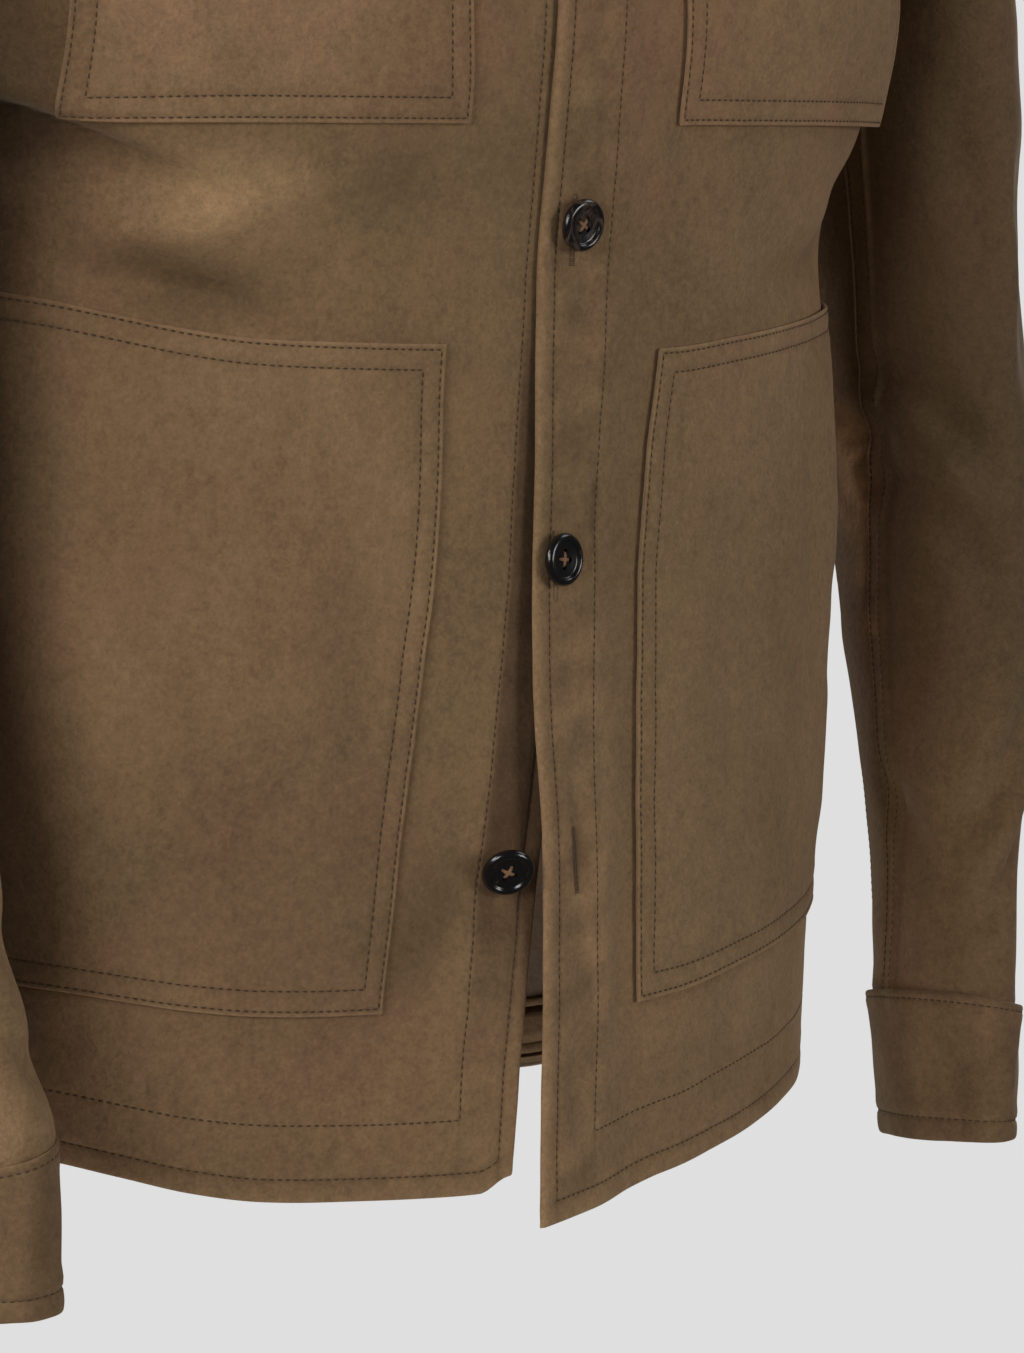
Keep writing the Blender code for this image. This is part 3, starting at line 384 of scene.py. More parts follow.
def sheet_mesh(name, p, thick, mats, edge_r=None, edges="LRTB", closed=False, flip=False, attrs=None, inner_drop=0.0):
    """A thin closed wall whose outer face is the grid p (rows x columns), with rounded edges.
    closed joins the last column to the first. attrs are grids of numbers that the finish reads."""
    rows, cols = p.shape[:2]
    n = grid_normal(p, closed)
    if flip:
        n = -n
    r = edge_r or thick * 0.5
    h = np.ones((rows, cols))
    if not closed:
        c = np.concatenate([np.zeros((rows, 1)), np.cumsum(np.linalg.norm(np.diff(p, axis=1), axis=2), axis=1)], 1)
        if "L" in edges:
            h = h * round_off(c, r)
        if "R" in edges:
            h = h * round_off(c[:, -1:] - c, r)
    c = np.concatenate([np.zeros((1, cols)), np.cumsum(np.linalg.norm(np.diff(p, axis=0), axis=2), axis=0)], 0)
    if "B" in edges:
        h = h * round_off(c, r)
    if "T" in edges:
        h = h * round_off(c[-1:] - c, r)
    mid = p - n * (thick / 2)
    outer = mid + n * (thick / 2 * h)[..., None]
    inner = mid - n * (thick / 2 * h)[..., None]
    used = cols - 1 if closed else cols
    idx = np.arange(rows * used).reshape(rows, used)
    rim = np.zeros((rows, used), bool)
    rim[0] = rim[-1] = True
    if not closed:
        rim[:, 0] = rim[:, -1] = True
    inner_idx = np.where(rim, idx, 0)
    extra = ~rim
    inner_idx[extra] = rows * used + np.arange(extra.sum())
    points = np.concatenate([outer[:, :used].reshape(-1, 3), inner[:, :used][extra]])
    if closed:
        idx, inner_idx = np.hstack([idx, idx[:, :1]]), np.hstack([inner_idx, inner_idx[:, :1]])

    def quads(i):
        return np.stack([i[:-1, :-1], i[:-1, 1:], i[1:, 1:], i[1:, :-1]], -1).reshape(-1, 4)
    a, b = quads(idx), quads(inner_idx)[:, ::-1]
    if flip:
        a, b = a[:, ::-1], b[:, ::-1]
    faces = np.concatenate([a, b])
    mesh = bpy.data.meshes.new(name)
    mesh.from_pydata(points.tolist(), [], faces.tolist())
    mesh.polygons.foreach_set("material_index", np.concatenate(
        [np.zeros(len(a), np.int32), np.ones(len(b), np.int32)]))
    for m in mats:
        mesh.materials.append(m)
    for key, grid in (attrs or {}).items():
        grid = np.broadcast_to(grid, (rows, cols))[:, :used]
        values = np.concatenate([grid.reshape(-1), grid[extra]]).astype(np.float32)
        mesh.attributes.new(key, "FLOAT", "POINT").data.foreach_set("value", values)
    mesh.shade_smooth()
    mesh.update()
    obj = bpy.data.objects.new(name, mesh)
    bpy.context.scene.collection.objects.link(obj)
    return obj


def area_of(p):
    a = np.cross(p[:-1, 1:] - p[:-1, :-1], p[1:, :-1] - p[:-1, :-1])
    return float(np.linalg.norm(a, axis=-1).sum())


# ------------------------------------------------------------------ finish
def hand_tone(x, y, spots):
    """Soft patches of nap tone, and of painted light and shade: strength, half width, half height, slant in degrees, x,
    y.
    """
    total = np.zeros(np.shape(x))
    for strength, hw, hh, slant, cx, cy in spots:
        a = radians(slant)
        dx, dy = x - cx, y - cy
        u, v = dx * cos(a) + dy * sin(a), -dx * sin(a) + dy * cos(a)
        total += strength * bell(np.hypot(u / hw, v / hh) ** 1.5)
    return total


TONE_AND_SHADE_SPOTS = [      # lighter or darker patches on the front, partly the nap's own tone and partly painted light and shade where the light falls, (s, w)
    # painted shade: the near sleeve shades the side of the right front, which also turns away from the light
    (-1.05, 30, 300, 0, -230, -500),
    (0.40, 60, 42, 10, -120, -290), (0.80, 46, 20, -8, -146, -366), (-0.05, 52, 70, 0, -130, -500), (0.40, 5, 22, -10, 9, -604), (0.35, 4, 18, 12, 1, -632), (0.30, 6, 26, 6, 14, -565),
    (-0.22, 40, 60, 0, -90, -610), (0.10, 30, 80, 0, -50, -480), (-0.18, 50, 26, 15, -60, -352),
    (-0.35, 24, 100, 0, -248, -510), (-0.20, 60, 40, 0, -140, -615), (-0.20, 60, 16, 0, 60, -695),
    (0.14, 40, 30, 0, 96, -292), (0.10, 40, 26, 0, 130, -380), (-0.26, 50, 70, 0, 110, -560),
    (0.12, 12, 90, 0, 0, -600), (0.14, 10, 60, 0, 12, -430), (-0.10, 14, 80, 0, 27, -560)]
WARM_SPOTS = [      # redder (positive) or more olive (negative) patches
    (0.75, 46, 34, 20, 46, -300), (0.55, 34, 26, 0, 70, -352), (-0.5, 40, 40, 0, 74, -338), (0.5, 50, 30, 10, -100, -286),
    (0.45, 40, 30, 0, -70, -326), (-0.45, 60, 30, 0, -60, -352), (0.4, 60, 60, 0, -150, -480), (0.35, 40, 50, 0, -120, -580),
    (-0.45, 60, 90, 0, 20, -500), (0.4, 34, 30, 0, -84, -672), (0.3, 36, 26, 0, 140, -352), (-0.4, 60, 80, 0, 100, -620)]


FOLD_SHADE_AND_LIGHT = [      # painted shade along the folds' troughs and painted light on a ridge: strength, width right, width left, fades, path
    (-0.62, 22, 4.0, 0.0, 0.60, [(-262, -330), (-229, -336), (-205, -343), (-170, -356), (-128, -370)]),
    (-0.30, 15, 12, 0.25, 0.50, [(-176, -394), (-152, -392), (-132, -384), (-104, -368), (-78, -358), (-44, -344)]),
    (-0.34, 9, 8, 0.20, 0.40, [(-206, -391), (-178, -394), (-152, -398), (-130, -401), (-96, -402)]),
    (0.35, 12, 14, 0.20, 0.40, [(-196, -374), (-160, -378), (-124, -366)]),
    (-0.35, 12, 12, 0.30, 0.40, [(-43, -596), (-61, -613), (-77, -640), (-85, -657)]),
    (-0.50, 1.7, 2.6, 0.30, 0.40, [(-9, -566), (-6, -592), (-8, -622)]),
    (-0.42, 1.6, 2.2, 0.30, 0.40, [(-3, -618), (0, -642), (-3, -672)]),
    (-0.40, 2.2, 1.8, 0.30, 0.40, [(7, -440), (10, -470), (6, -506)]),
    (-0.34, 2.0, 2.6, 0.30, 0.40, [(3, -318), (6, -342), (2, -372)]),
    (-0.40, 12, 16, 0.10, 0.50, [(262, -344), (226, -352), (186, -366), (150, -372)]),
    (-0.30, 10, 10, 0.20, 0.50, [(196, -396), (160, -398), (124, -404)])]


def tones_and_shade(s, w, lift_tone=0.0, lift_warm=0.0):
    x, y = s / MM, w / MM
    front = 1 - smooth(230, 330, np.abs(x))
    return {"tone_and_shade": (hand_tone(x, y, TONE_AND_SHADE_SPOTS) + folds(x, y, FOLD_SHADE_AND_LIGHT)) * front + lift_tone,
            "warm": hand_tone(x, y, WARM_SPOTS) * front + lift_warm}


def node(tree, kind, at=None, **inputs):
    made = tree.nodes.new(kind)
    for key, value in inputs.items():
        if hasattr(value, "bl_idname") or isinstance(value, bpy.types.NodeSocket):
            tree.links.new(value, made.inputs[key])
        else:
            made.inputs[key].default_value = value
    return made


def math(tree, op, a, b=None, clamp=False):
    made = tree.nodes.new("ShaderNodeMath")
    made.operation, made.use_clamp = op, clamp
    for k, v in enumerate((a, b)):
        if v is None:
            continue
        if isinstance(v, bpy.types.NodeSocket):
            tree.links.new(v, made.inputs[k])
        else:
            made.inputs[k].default_value = v
    return made.outputs[0]


def noise(tree, vec, scale, detail=2.0, rough=0.5, distort=0.0):
    n = tree.nodes.new("ShaderNodeTexNoise")
    n.inputs["Scale"].default_value = scale
    n.inputs["Detail"].default_value = detail
    n.inputs["Roughness"].default_value = rough
    n.inputs["Distortion"].default_value = distort
    tree.links.new(vec, n.inputs["Vector"])
    return n.outputs["Fac"]


def stretched(tree, vec, scale, offset=(0, 0, 0)):
    m = tree.nodes.new("ShaderNodeMapping")
    m.inputs["Scale"].default_value = scale
    m.inputs["Location"].default_value = offset
    tree.links.new(vec, m.inputs["Vector"])
    return m.outputs["Vector"]


def mix(tree, fac, a, b, kind="MIX"):
    m = tree.nodes.new("ShaderNodeMix")
    m.data_type, m.blend_type = "RGBA", kind
    for key, v in ((0, fac), (6, a), (7, b)):
        if isinstance(v, bpy.types.NodeSocket):
            tree.links.new(v, m.inputs[key])
        else:
            m.inputs[key].default_value = v if key == 0 else (*v, 1)
    return m.outputs[2]


def suede(name, base, warm, olive, offset=(0, 0, 0), mottle=1.0, sheen=0.25, grain=1.0):
    """Napped suede: mottling at three sizes, faint brushed streaks, fine grain in colour and bump."""
    mat = bpy.data.materials.new(name)
    mat.use_nodes = True
    t = mat.node_tree
    shader = t.nodes["Principled BSDF"]
    coord = t.nodes.new("ShaderNodeTexCoord").outputs["Object"]
    vec = stretched(t, coord, (1, 1, 1), offset)
    streak = stretched(t, coord, (1.0, 1.0, 0.30), offset)
    tone_and_shade_in = t.nodes.new("ShaderNodeAttribute")
    tone_and_shade_in.attribute_name = "tone_and_shade"
    warm_in = t.nodes.new("ShaderNodeAttribute")
    warm_in.attribute_name = "warm"
    big = noise(t, vec, 7.0, 3.0, 0.55, 0.6)
    mid = noise(t, streak, 24.0, 3.0, 0.6, 0.5)
    small = noise(t, vec, 85.0, 3.0, 0.6)
    fine = noise(t, vec, 620.0, 2.0, 0.6)
    finest = noise(t, vec, 1500.0, 1.0, 0.5)
    pebble = noise(t, vec, 260.0, 2.0, 0.6)
    hue = noise(t, stretched(t, coord, (1, 1, 1), (3.1 + offset[0], 1.7, 0.4)), 13.0, 3.0, 0.6, 0.8)
    # how warm: around 0 is the base colour
    w1 = math(t, "MULTIPLY", math(t, "SUBTRACT", hue, 0.5), 2.6 * mottle)
    w2 = math(t, "ADD", w1, warm_in.outputs["Fac"])
    red = math(t, "MULTIPLY", w2, 0.55, True)
    grn = math(t, "MULTIPLY", w2, -0.55, True)
    colour = mix(t, red, base, warm)
    colour = mix(t, grn, colour, olive)
    # how light: the mottling, and the attribute read above, which holds the nap's tone with painted light and shade
    l = math(t, "MULTIPLY", math(t, "SUBTRACT", big, 0.5), 0.55 * mottle)
    l = math(t, "ADD", l, math(t, "MULTIPLY", math(t, "SUBTRACT", mid, 0.5), 0.40 * mottle))
    l = math(t, "ADD", l, math(t, "MULTIPLY", math(t, "SUBTRACT", small, 0.5), 0.30))
    l = math(t, "ADD", l, math(t, "MULTIPLY", math(t, "SUBTRACT", pebble, 0.5), 0.52 * grain))
    l = math(t, "ADD", l, math(t, "MULTIPLY", math(t, "SUBTRACT", fine, 0.5), 0.62 * grain))
    l = math(t, "ADD", l, math(t, "MULTIPLY", math(t, "SUBTRACT", finest, 0.5), 0.30 * grain))
    tone_and_shade_gain = math(t, "ADD", math(t, "MULTIPLY", tone_and_shade_in.outputs["Fac"], 0.55), 1.0)
    l = math(t, "MULTIPLY", math(t, "ADD", l, 1.0), math(t, "MAXIMUM", tone_and_shade_gain, 0.30))
    scaled = t.nodes.new("ShaderNodeVectorMath")
    scaled.operation = "SCALE"
    t.links.new(colour, scaled.inputs[0])
    t.links.new(l, scaled.inputs["Scale"])
    t.links.new(scaled.outputs[0], shader.inputs["Base Color"])
    shader.inputs["Roughness"].default_value = 0.95
    shader.inputs["Specular IOR Level"].default_value = 0.12
    shader.inputs["Sheen Weight"].default_value = sheen
    shader.inputs["Sheen Roughness"].default_value = 0.45
    shader.inputs["Sheen Tint"].default_value = (0.78, 0.66, 0.52, 1)
    height = math(t, "ADD", math(t, "MULTIPLY", fine, 0.8), math(t, "MULTIPLY", small, 0.9))
    height = math(t, "ADD", height, math(t, "MULTIPLY", pebble, 0.9))
    height = math(t, "ADD", height, math(t, "MULTIPLY", mid, 1.2))
    bump = t.nodes.new("ShaderNodeBump")
    bump.inputs["Strength"].default_value = 0.55
    bump.inputs["Distance"].default_value = 0.0006
    t.links.new(height, bump.inputs["Height"])
    t.links.new(bump.outputs["Normal"], shader.inputs["Normal"])
    return mat


def plain(name, colour, rough, coat=0.0, bumps=0.0, scale=900.0, vary=0.25):
    mat = bpy.data.materials.new(name)
    mat.use_nodes = True
    t = mat.node_tree
    shader = t.nodes["Principled BSDF"]
    coord = t.nodes.new("ShaderNodeTexCoord").outputs["Object"]
    n = noise(t, coord, scale, 2.0, 0.6)
    dark = tuple(c * (1 - vary) for c in colour)
    light = tuple(min(1.0, c * (1 + vary)) for c in colour)
    t.links.new(mix(t, n, dark, light), shader.inputs["Base Color"])
    shader.inputs["Roughness"].default_value = rough
    shader.inputs["Coat Weight"].default_value = coat
    shader.inputs["Coat Roughness"].default_value = 0.08
    if bumps:
        bump = t.nodes.new("ShaderNodeBump")
        bump.inputs["Strength"].default_value = bumps
        bump.inputs["Distance"].default_value = 0.0003
        t.links.new(n, bump.inputs["Height"])
        t.links.new(bump.outputs["Normal"], shader.inputs["Normal"])
    return mat


def horn(name, offset, clear):
    """Near-black horn with soft brown marbling."""
    mat = bpy.data.materials.new(name)
    mat.use_nodes = True
    t = mat.node_tree
    shader = t.nodes["Principled BSDF"]
    coord = t.nodes.new("ShaderNodeTexCoord").outputs["Object"]
    vec = stretched(t, coord, (1.0, 1.0, 0.55), offset)
    n = noise(t, vec, 120.0, 4.0, 0.65, 1.6)
    spot = t.nodes.new("ShaderNodeMapRange")
    spot.inputs["From Min"].default_value = clear
    spot.inputs["From Max"].default_value = clear + 0.16
    t.links.new(n, spot.inputs["Value"])
    streaks = noise(t, stretched(t, coord, (1.0, 1.0, 0.2), offset), 700.0, 3.0, 0.7)
    brown = mix(t, streaks, (0.030, 0.016, 0.010), (0.16, 0.115, 0.085))
    t.links.new(mix(t, spot.outputs["Result"], (0.0065, 0.0055, 0.0055), brown), shader.inputs["Base Color"])
    shader.inputs["Roughness"].default_value = 0.22
    shader.inputs["Coat Weight"].default_value = 0.5
    shader.inputs["Coat Roughness"].default_value = 0.10
    return mat


BASE, WARM, OLIVE = (0.272, 0.167, 0.086), (0.300, 0.158, 0.090), (0.238, 0.163, 0.078)
SUEDE_FRONT_R = suede("suede_right", BASE, WARM, OLIVE, (0.0, 0.0, 0.0))
SUEDE_FRONT_L = suede("suede_left", BASE, WARM, OLIVE, (0.7, 0.2, 0.1))
SUEDE_BACK = suede("suede_back", BASE, WARM, OLIVE, (1.9, 0.6, 0.3))
SUEDE_SLEEVE = suede("suede_sleeve", BASE, WARM, OLIVE, (2.7, 1.2, 0.5), mottle=0.65)
SUEDE_POCKET = suede("suede_pocket", (0.278, 0.171, 0.089), WARM, OLIVE, (4.1, 0.5, 1.3))
SUEDE_COLLAR = suede("suede_collar", BASE, WARM, OLIVE, (5.3, 0.9, 0.2))
REVERSE = suede("suede_reverse", (0.300, 0.205, 0.140), (0.32, 0.20, 0.14), (0.27, 0.20, 0.13), (6.0, 0.3, 0.9),
                mottle=0.6, sheen=0.15, grain=0.8)
# stitch thread darker than the suede: partly its own colour, partly painted shade of the dips it sits in; the hole
# marks are painted shade
THREAD_WITH_SHADE = plain("thread", (0.074, 0.044, 0.022), 0.8, vary=0.3, scale=1600.0)
HOLE_SHADE = plain("stitch_hole_shade", (0.026, 0.014, 0.007), 0.9)
BUTTONHOLE_THREAD = plain("buttonhole_thread", (0.105, 0.050, 0.024), 0.7, vary=0.4, scale=1600.0)
# painted shade in the buttonhole's cut
SLIT_SHADE = plain("buttonhole_slit_shade", (0.055, 0.030, 0.016), 0.9)
SOFT_THREAD = plain("buttonhole_suede_thread", (0.150, 0.095, 0.052), 0.85, vary=0.3, scale=1600.0)
# painted shade in the open buttonhole's cut
SOFT_SLIT_SHADE = plain("buttonhole_suede_slit_shade", (0.080, 0.048, 0.026), 0.9)
TIE = plain("button_thread", (0.34, 0.185, 0.095), 0.7, vary=0.35, scale=2400.0)


# ------------------------------------------------------------------ stitches
class Stitches:
    """Thread lying along lines on the cloth, joined into one mesh."""

    def __init__(self):
        self.points, self.faces, self.kinds, self.count = [], [], [], 0

    def capsule(self, a, b, normal, wide, high, kind=0, sides=5):
        """A short thread from a to b, whose ends dive into the cloth."""
        axis = unit(b - a)
        side = unit(np.cross(normal, axis))
        up = unit(np.cross(axis, side))
        rows = []
        for t, k, sink in ((0.0, 0.40, -0.55), (0.22, 0.95, 0.14), (0.78, 0.95, 0.14), (1.0, 0.40, -0.55)):
            centre = a + (b - a) * t + up * high * sink
            for j in range(sides):
                ang = 2 * pi * j / sides
                rows.append(centre + side * (wide / 2 * k * cos(ang)) + up * (high / 2 * k * sin(ang)))
        base = self.count
        self.points += rows
        self.count += len(rows)
        for r in range(3):
            for j in range(sides):
                m = (j + 1) % sides
                self.faces.append((base + r * sides + j, base + r * sides + m,
                                   base + (r + 1) * sides + m, base + (r + 1) * sides + j))
                self.kinds.append(kind)
        self.faces.append(tuple(base + j for j in range(sides))[::-1])
        self.faces.append(tuple(base + 3 * sides + j for j in range(sides)))
        self.kinds += [kind, kind]

    def hole_shade(self, at, axis, normal, long, wide):
        """Painted shade in the hole where the thread goes in: a low dark lens on the cloth."""
        axis = unit(axis)
        side = unit(np.cross(normal, axis))
        up = unit(np.cross(axis, side))
        base = self.count
        ring = [at + axis * (long / 2 * cos(2 * pi * j / 6)) + side * (wide / 2 * sin(2 * pi * j / 6)) - up * 0.00012
                for j in range(6)]
        self.points += ring + [at + up * 0.00010, at - up * 0.0004]
        self.count += 8
        for j in range(6):
            m = (j + 1) % 6
            self.faces.append((base + j, base + m, base + 6))
            self.faces.append((base + m, base + j, base + 7))
            self.kinds += [1, 1]

    def line(self, p, n, pitch=3.0 * MM, thread=1.95 * MM, wide=0.80 * MM, skip=0.0, hole=0.8 * MM):
        """A row of stitches along the points p with the cloth's normals n."""
        run = np.concatenate([[0], np.cumsum(np.linalg.norm(np.diff(p, axis=0), axis=1))])
        total = run[-1] - skip
        count = int((total - skip) / pitch)
        if count < 2:
            return
        starts = skip + (np.arange(count) + 0.1) * (total - skip) / count

        def at(x, arr):
            return np.stack([np.interp(x, run, arr[:, k]) for k in range(3)], -1)
        a, b = at(starts, p), at(starts + thread, p)
        na = unit(at(starts + thread / 2, n))
        mid = at(starts + thread + (pitch - thread) / 2, p)
        for k in range(count):
            self.capsule(a[k], b[k], na[k], wide, 0.42 * MM)
            self.hole_shade(b[k] + na[k] * 0.00004, b[k] - a[k], na[k], hole, 0.9 * MM)

    def build(self, name, mats):
        mesh = bpy.data.meshes.new(name)
        mesh.from_pydata([tuple(map(float, v)) for v in self.points], [], self.faces)
        mesh.polygons.foreach_set("material_index", np.array(self.kinds, np.int32))
        for m in mats:
            mesh.materials.append(m)
        mesh.shade_smooth()
        obj = bpy.data.objects.new(name, mesh)
        bpy.context.scene.collection.objects.link(obj)
        return obj


# a stitch line presses a groove in the cloth on both sides of the thread
def groove(d, depth=0.60 * MM, wide=0.85 * MM, puff=0.42 * MM, reach=3.0 * MM):
    return -depth * bell(d / wide) + puff * bell((np.abs(d) - reach) / reach)


def keep(obj, nodes):
    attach(obj, "root")
    if nodes:
        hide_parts(*nodes)
    return obj


# ------------------------------------------------------------------ the fronts
EDGE_STITCH, HEM_STITCH = 8.2 * MM, 8.4 * MM


def neck_front(s):
    return -NECK_FRONT_DROP * (1 - np.minimum(1.0, np.maximum(0.0, s) / NECK_HALF) ** 1.35) ** 0.85


def neck_back(d):
    return -NECK_BACK_DROP * (1 - np.minimum(1.0, np.abs(d) / NECK_HALF) ** 1.9) ** 0.7


def front_knots(side, w):
    """Lengths from the front edge that the panel's columns run through, at heights w."""
    left = side == "L"
    e = edge_col("left" if left else "right", w)
    f = np.abs(edge_col("left_facing" if left else "right_facing", w) - e)
    out = np.where(w <= UNDERARM, look(SIDE, w), look(ARM_F, w)) - SEAM_GAP / 2
    last = out - (e if left else -EDGE_CLOSED_RIGHT)
    return e, f, last


FRONT_C = np.array([0.0, EDGE_STITCH, 0.0285, 0.045, 0.200, 0.300])


def front_place(side, c, w):
    """s and the distance p from the front edge, of column c at height w."""
    e, f, last = front_knots(side, w)
    knots = [np.zeros_like(w), np.full_like(w, EDGE_STITCH), f, f + 0.0165, 0.200 + np.zeros_like(w), last]
    p = np.zeros(np.broadcast(c, w).shape)
    for k in range(len(FRONT_C) - 1):
        lo, hi = FRONT_C[k], FRONT_C[k + 1]
        inside = (c >= lo) & (c <= hi)
        p = np.where(inside, knots[k] + (knots[k + 1] - knots[k]) * (c - lo) / (hi - lo), p)
    if side == "L":
        s = e + p
    else:
        s = EDGE_CLOSED_RIGHT - p + (e - EDGE_CLOSED_RIGHT) * np.maximum(0.0, 1 - p / last)
    return s, p


def corner(side, s, w):
    down = smooth(-0.62, -0.725, w)
    if side == "L":
        return -down * 9.5 * MM * curve(np.array((-22, 14, 47, 75)) * MM, (1.0, 0.68, 0.16, 0.0), s)
    return down * 5.5 * MM * smooth(-0.046, -0.033, s)


def tip(side, s, w):
    left = side == "L"
    e = edge_col("left" if left else "right", w)
    amount = edge_col("left_tip" if left else "right_tip", w) / 0.85
    p = np.maximum(0.0, (s - e) if left else (e - s))
    return amount * np.exp(-((p / 0.027) ** 1.6))


def front_lift(side, s, w):
    """How far the front lies off the form: its lap, and its edge tipped forward."""
    lift = tip(side, s, w)
    if side == "L":
        lift = lift + LAP * (1 - smooth(0.030, 0.056, s - edge_col("left", w)))
    return lift


def on_front(side, s, w, lift=0.0):
    p = cloth(s, w, front_lift(side, s, w) + lift)
    p[..., 2] += corner(side, s, w)
    return p


# soft pulls along the button band, (p from the edge, w)
BAND_PULLS = [
    (-0.9, 5, 5, 0.4, 0.4, [(14, -560), (19, -590), (17, -628)]), (0.7, 4, 4, 0.4, 0.4, [(21, -566), (24, -600), (22, -640)]),
    (-0.7, 4, 4, 0.4, 0.4, [(12, -640), (16, -668), (13, -700)]), (-0.6, 3.5, 4, 0.4, 0.5, [(23, -452), (26, -478), (24, -508)]),
    (0.6, 4, 4, 0.4, 0.4, [(18, -440), (20, -462), (17, -486)]), (-0.6, 4, 3, 0.4, 0.4, [(31, -520), (35, -556), (33, -590)]),
    (0.7, 5, 5, 0.4, 0.4, [(32, -600), (36, -640), (33, -680)]), (-0.7, 4, 5, 0.4, 0.4, [(38, -606), (41, -644), (38, -676)]),
    (-0.5, 3, 4, 0.4, 0.4, [(20, -296), (23, -322), (20, -350)]), (0.5, 4, 4, 0.4, 0.4, [(25, -400), (27, -424), (25, -450)])]


def front_panel(side):
    left = side == "L"
    hem = HEM_LEFT if left else HEM_RIGHT
    face_c = 0.0285
    cs = spaced([0.0] + ends_fine(0.0, 0.300, 1.3 * MM) + [face_c, 0.045, 0.200, 0.300], 3.0 * MM,
                fine=(EDGE_STITCH, face_c))
    cs = np.unique(np.clip(cs, 0, 0.3))
    ws = spaced([hem] + ends_fine(hem, 0.0, 1.3 * MM) + [0.0], 3.2 * MM,
                fine=(hem + HEM_STITCH, hem + HEM_FACING))
    ws = np.unique(np.clip(ws, hem, 0.0))
    c, w = np.meshgrid(cs, ws)
    # the neckline: each column's top comes down, and the cloth above the pocket shares it
    top = np.zeros_like(cs)
    for _ in range(9):
        s_top, _p = front_place(side, cs, top)
        top = neck_front(s_top if left else -s_top)
    high = smooth(-0.190, 0.0, ws)[:, None]
    w = w + top[None] * high
    s, p = front_place(side, c, w)
    e, f, last = front_knots(side, w)
    hem_line = (ws - hem)[:, None] + 0 * c
    lift = (groove(p - EDGE_STITCH) * smooth(0.004, 0.012, hem_line)
            + groove(p - f, 0.35 * MM, 0.7 * MM, 0.18 * MM) * smooth(0.020, 0.028, hem_line)
            + groove(hem_line - HEM_STITCH) * smooth(0.004, 0.010, p)
            + groove(hem_line - HEM_FACING, 0.30 * MM, 0.7 * MM, 0.16 * MM) * smooth(0.022, 0.030, p) * (1 - 0.5 * smooth(0.10, 0.20, p)))
    # the turned edge is a little thicker than the cloth beside it
    roll = 0.55 * MM * bell((p - 2.2 * MM) / (2.0 * MM)) + 0.35 * MM * bell((hem_line - 2.2 * MM) / (2.2 * MM))
    band = 1.8 * folds((p - 3.6 * MM) / MM, w / MM, BAND_PULLS) * MM if left else 0.0
    # seams pull the cloth in at the side and the armhole
    seam = -0.9 * MM * bell((last - p) / (2.2 * MM)) + 0.5 * MM * bell((last - p - 5 * MM) / (3.5 * MM))
    pts = on_front(side, s, w, lift + roll + band + seam)
    attrs = tones_and_shade(s, w)
    # lighter along the turned edge and the hem's roll: painted highlight; darker along the stitch lines: painted shade
    # in their grooves; soft streaks along the button band
    attrs["tone_and_shade"] = attrs["tone_and_shade"] + (0.60 if left else 0.16) * bell((p - 1.8 * MM) / (2.6 * MM)) - 0.22 * bell((p - EDGE_STITCH) / (1.0 * MM)) \
        - 0.14 * bell((p - f) / (1.0 * MM)) + 0.16 * bell((hem_line - 2.0 * MM) / (2.6 * MM)) - 0.18 * bell((hem_line - HEM_STITCH) / (1.0 * MM)) \
        + 0.30 * waves(p / MM, w / MM, 91, 26) * bell((p - 20 * MM) / (16 * MM)) * (1 if left else 0.3)
    if not left:        # the strip beside the lap is darker and redder: painted shade cast by the lapped left front's edge
        lap_shade = (1 - smooth(f - 2.5 * MM, f + 1.0 * MM, p)) * smooth(-0.70, -0.58, w) * (1 - smooth(-0.44, -0.37, w))
        attrs["tone_and_shade"] = attrs["tone_and_shade"] - 1.0 * lap_shade
        attrs["warm"] = attrs["warm"] + 0.7 * lap_shade
    name = "coat_front_" + ("left" if left else "right")
    mats = [SUEDE_FRONT_L if left else SUEDE_FRONT_R, REVERSE]
    obj = sheet_mesh(name, pts, 1.9 * MM, mats, edge_r=1.2 * MM, flip=not left, attrs=attrs)
    keep(obj, ["front_left" if left else "front_right"])
    n = grid_normal(pts) * (1 if left else -1)
    st = Stitches()

    def col_at(value):
        return int(np.abs(cs - value).argmin())

    def row_at(value):
        return int(np.abs(ws - value).argmin())
    j, i = col_at(EDGE_STITCH), row_at(hem + HEM_STITCH)
    st.line(pts[i:, j], n[i:, j])
    st.line(pts[i, j:], n[i, j:])
    jf, i2 = col_at(face_c), row_at(hem + HEM_FACING)
    st.line(pts[i2:, jf], n[i2:, jf])
    st.line(pts[i2, jf:], n[i2, jf:])
    return obj, pts, n, st, (cs, ws)


# ------------------------------------------------------------------ patch pockets
def front_normal(side, s, w, e=1.5 * MM):
    a = on_front(side, s + e, w) - on_front(side, s - e, w)
    b = on_front(side, s, w + e) - on_front(side, s, w - e)
    return unit(np.cross(a, b))


POCKET_SPEC = {     # name: side, (low, high), flare at the outer low corner mm, puff mm
    "pocket_low_left": ("L", POCKET_LOW["L"], 0.0, 1.6), "pocket_low_right": ("R", POCKET_LOW["R"], 0.0, 1.9),
    "pocket_chest_left": ("L", POCKET_CHEST["L"], 4.6, 1.3), "pocket_chest_right": ("R", POCKET_CHEST["R"], 1.2, 1.5)}
POCKET_STITCH = (1.9 * MM, 9.2 * MM)


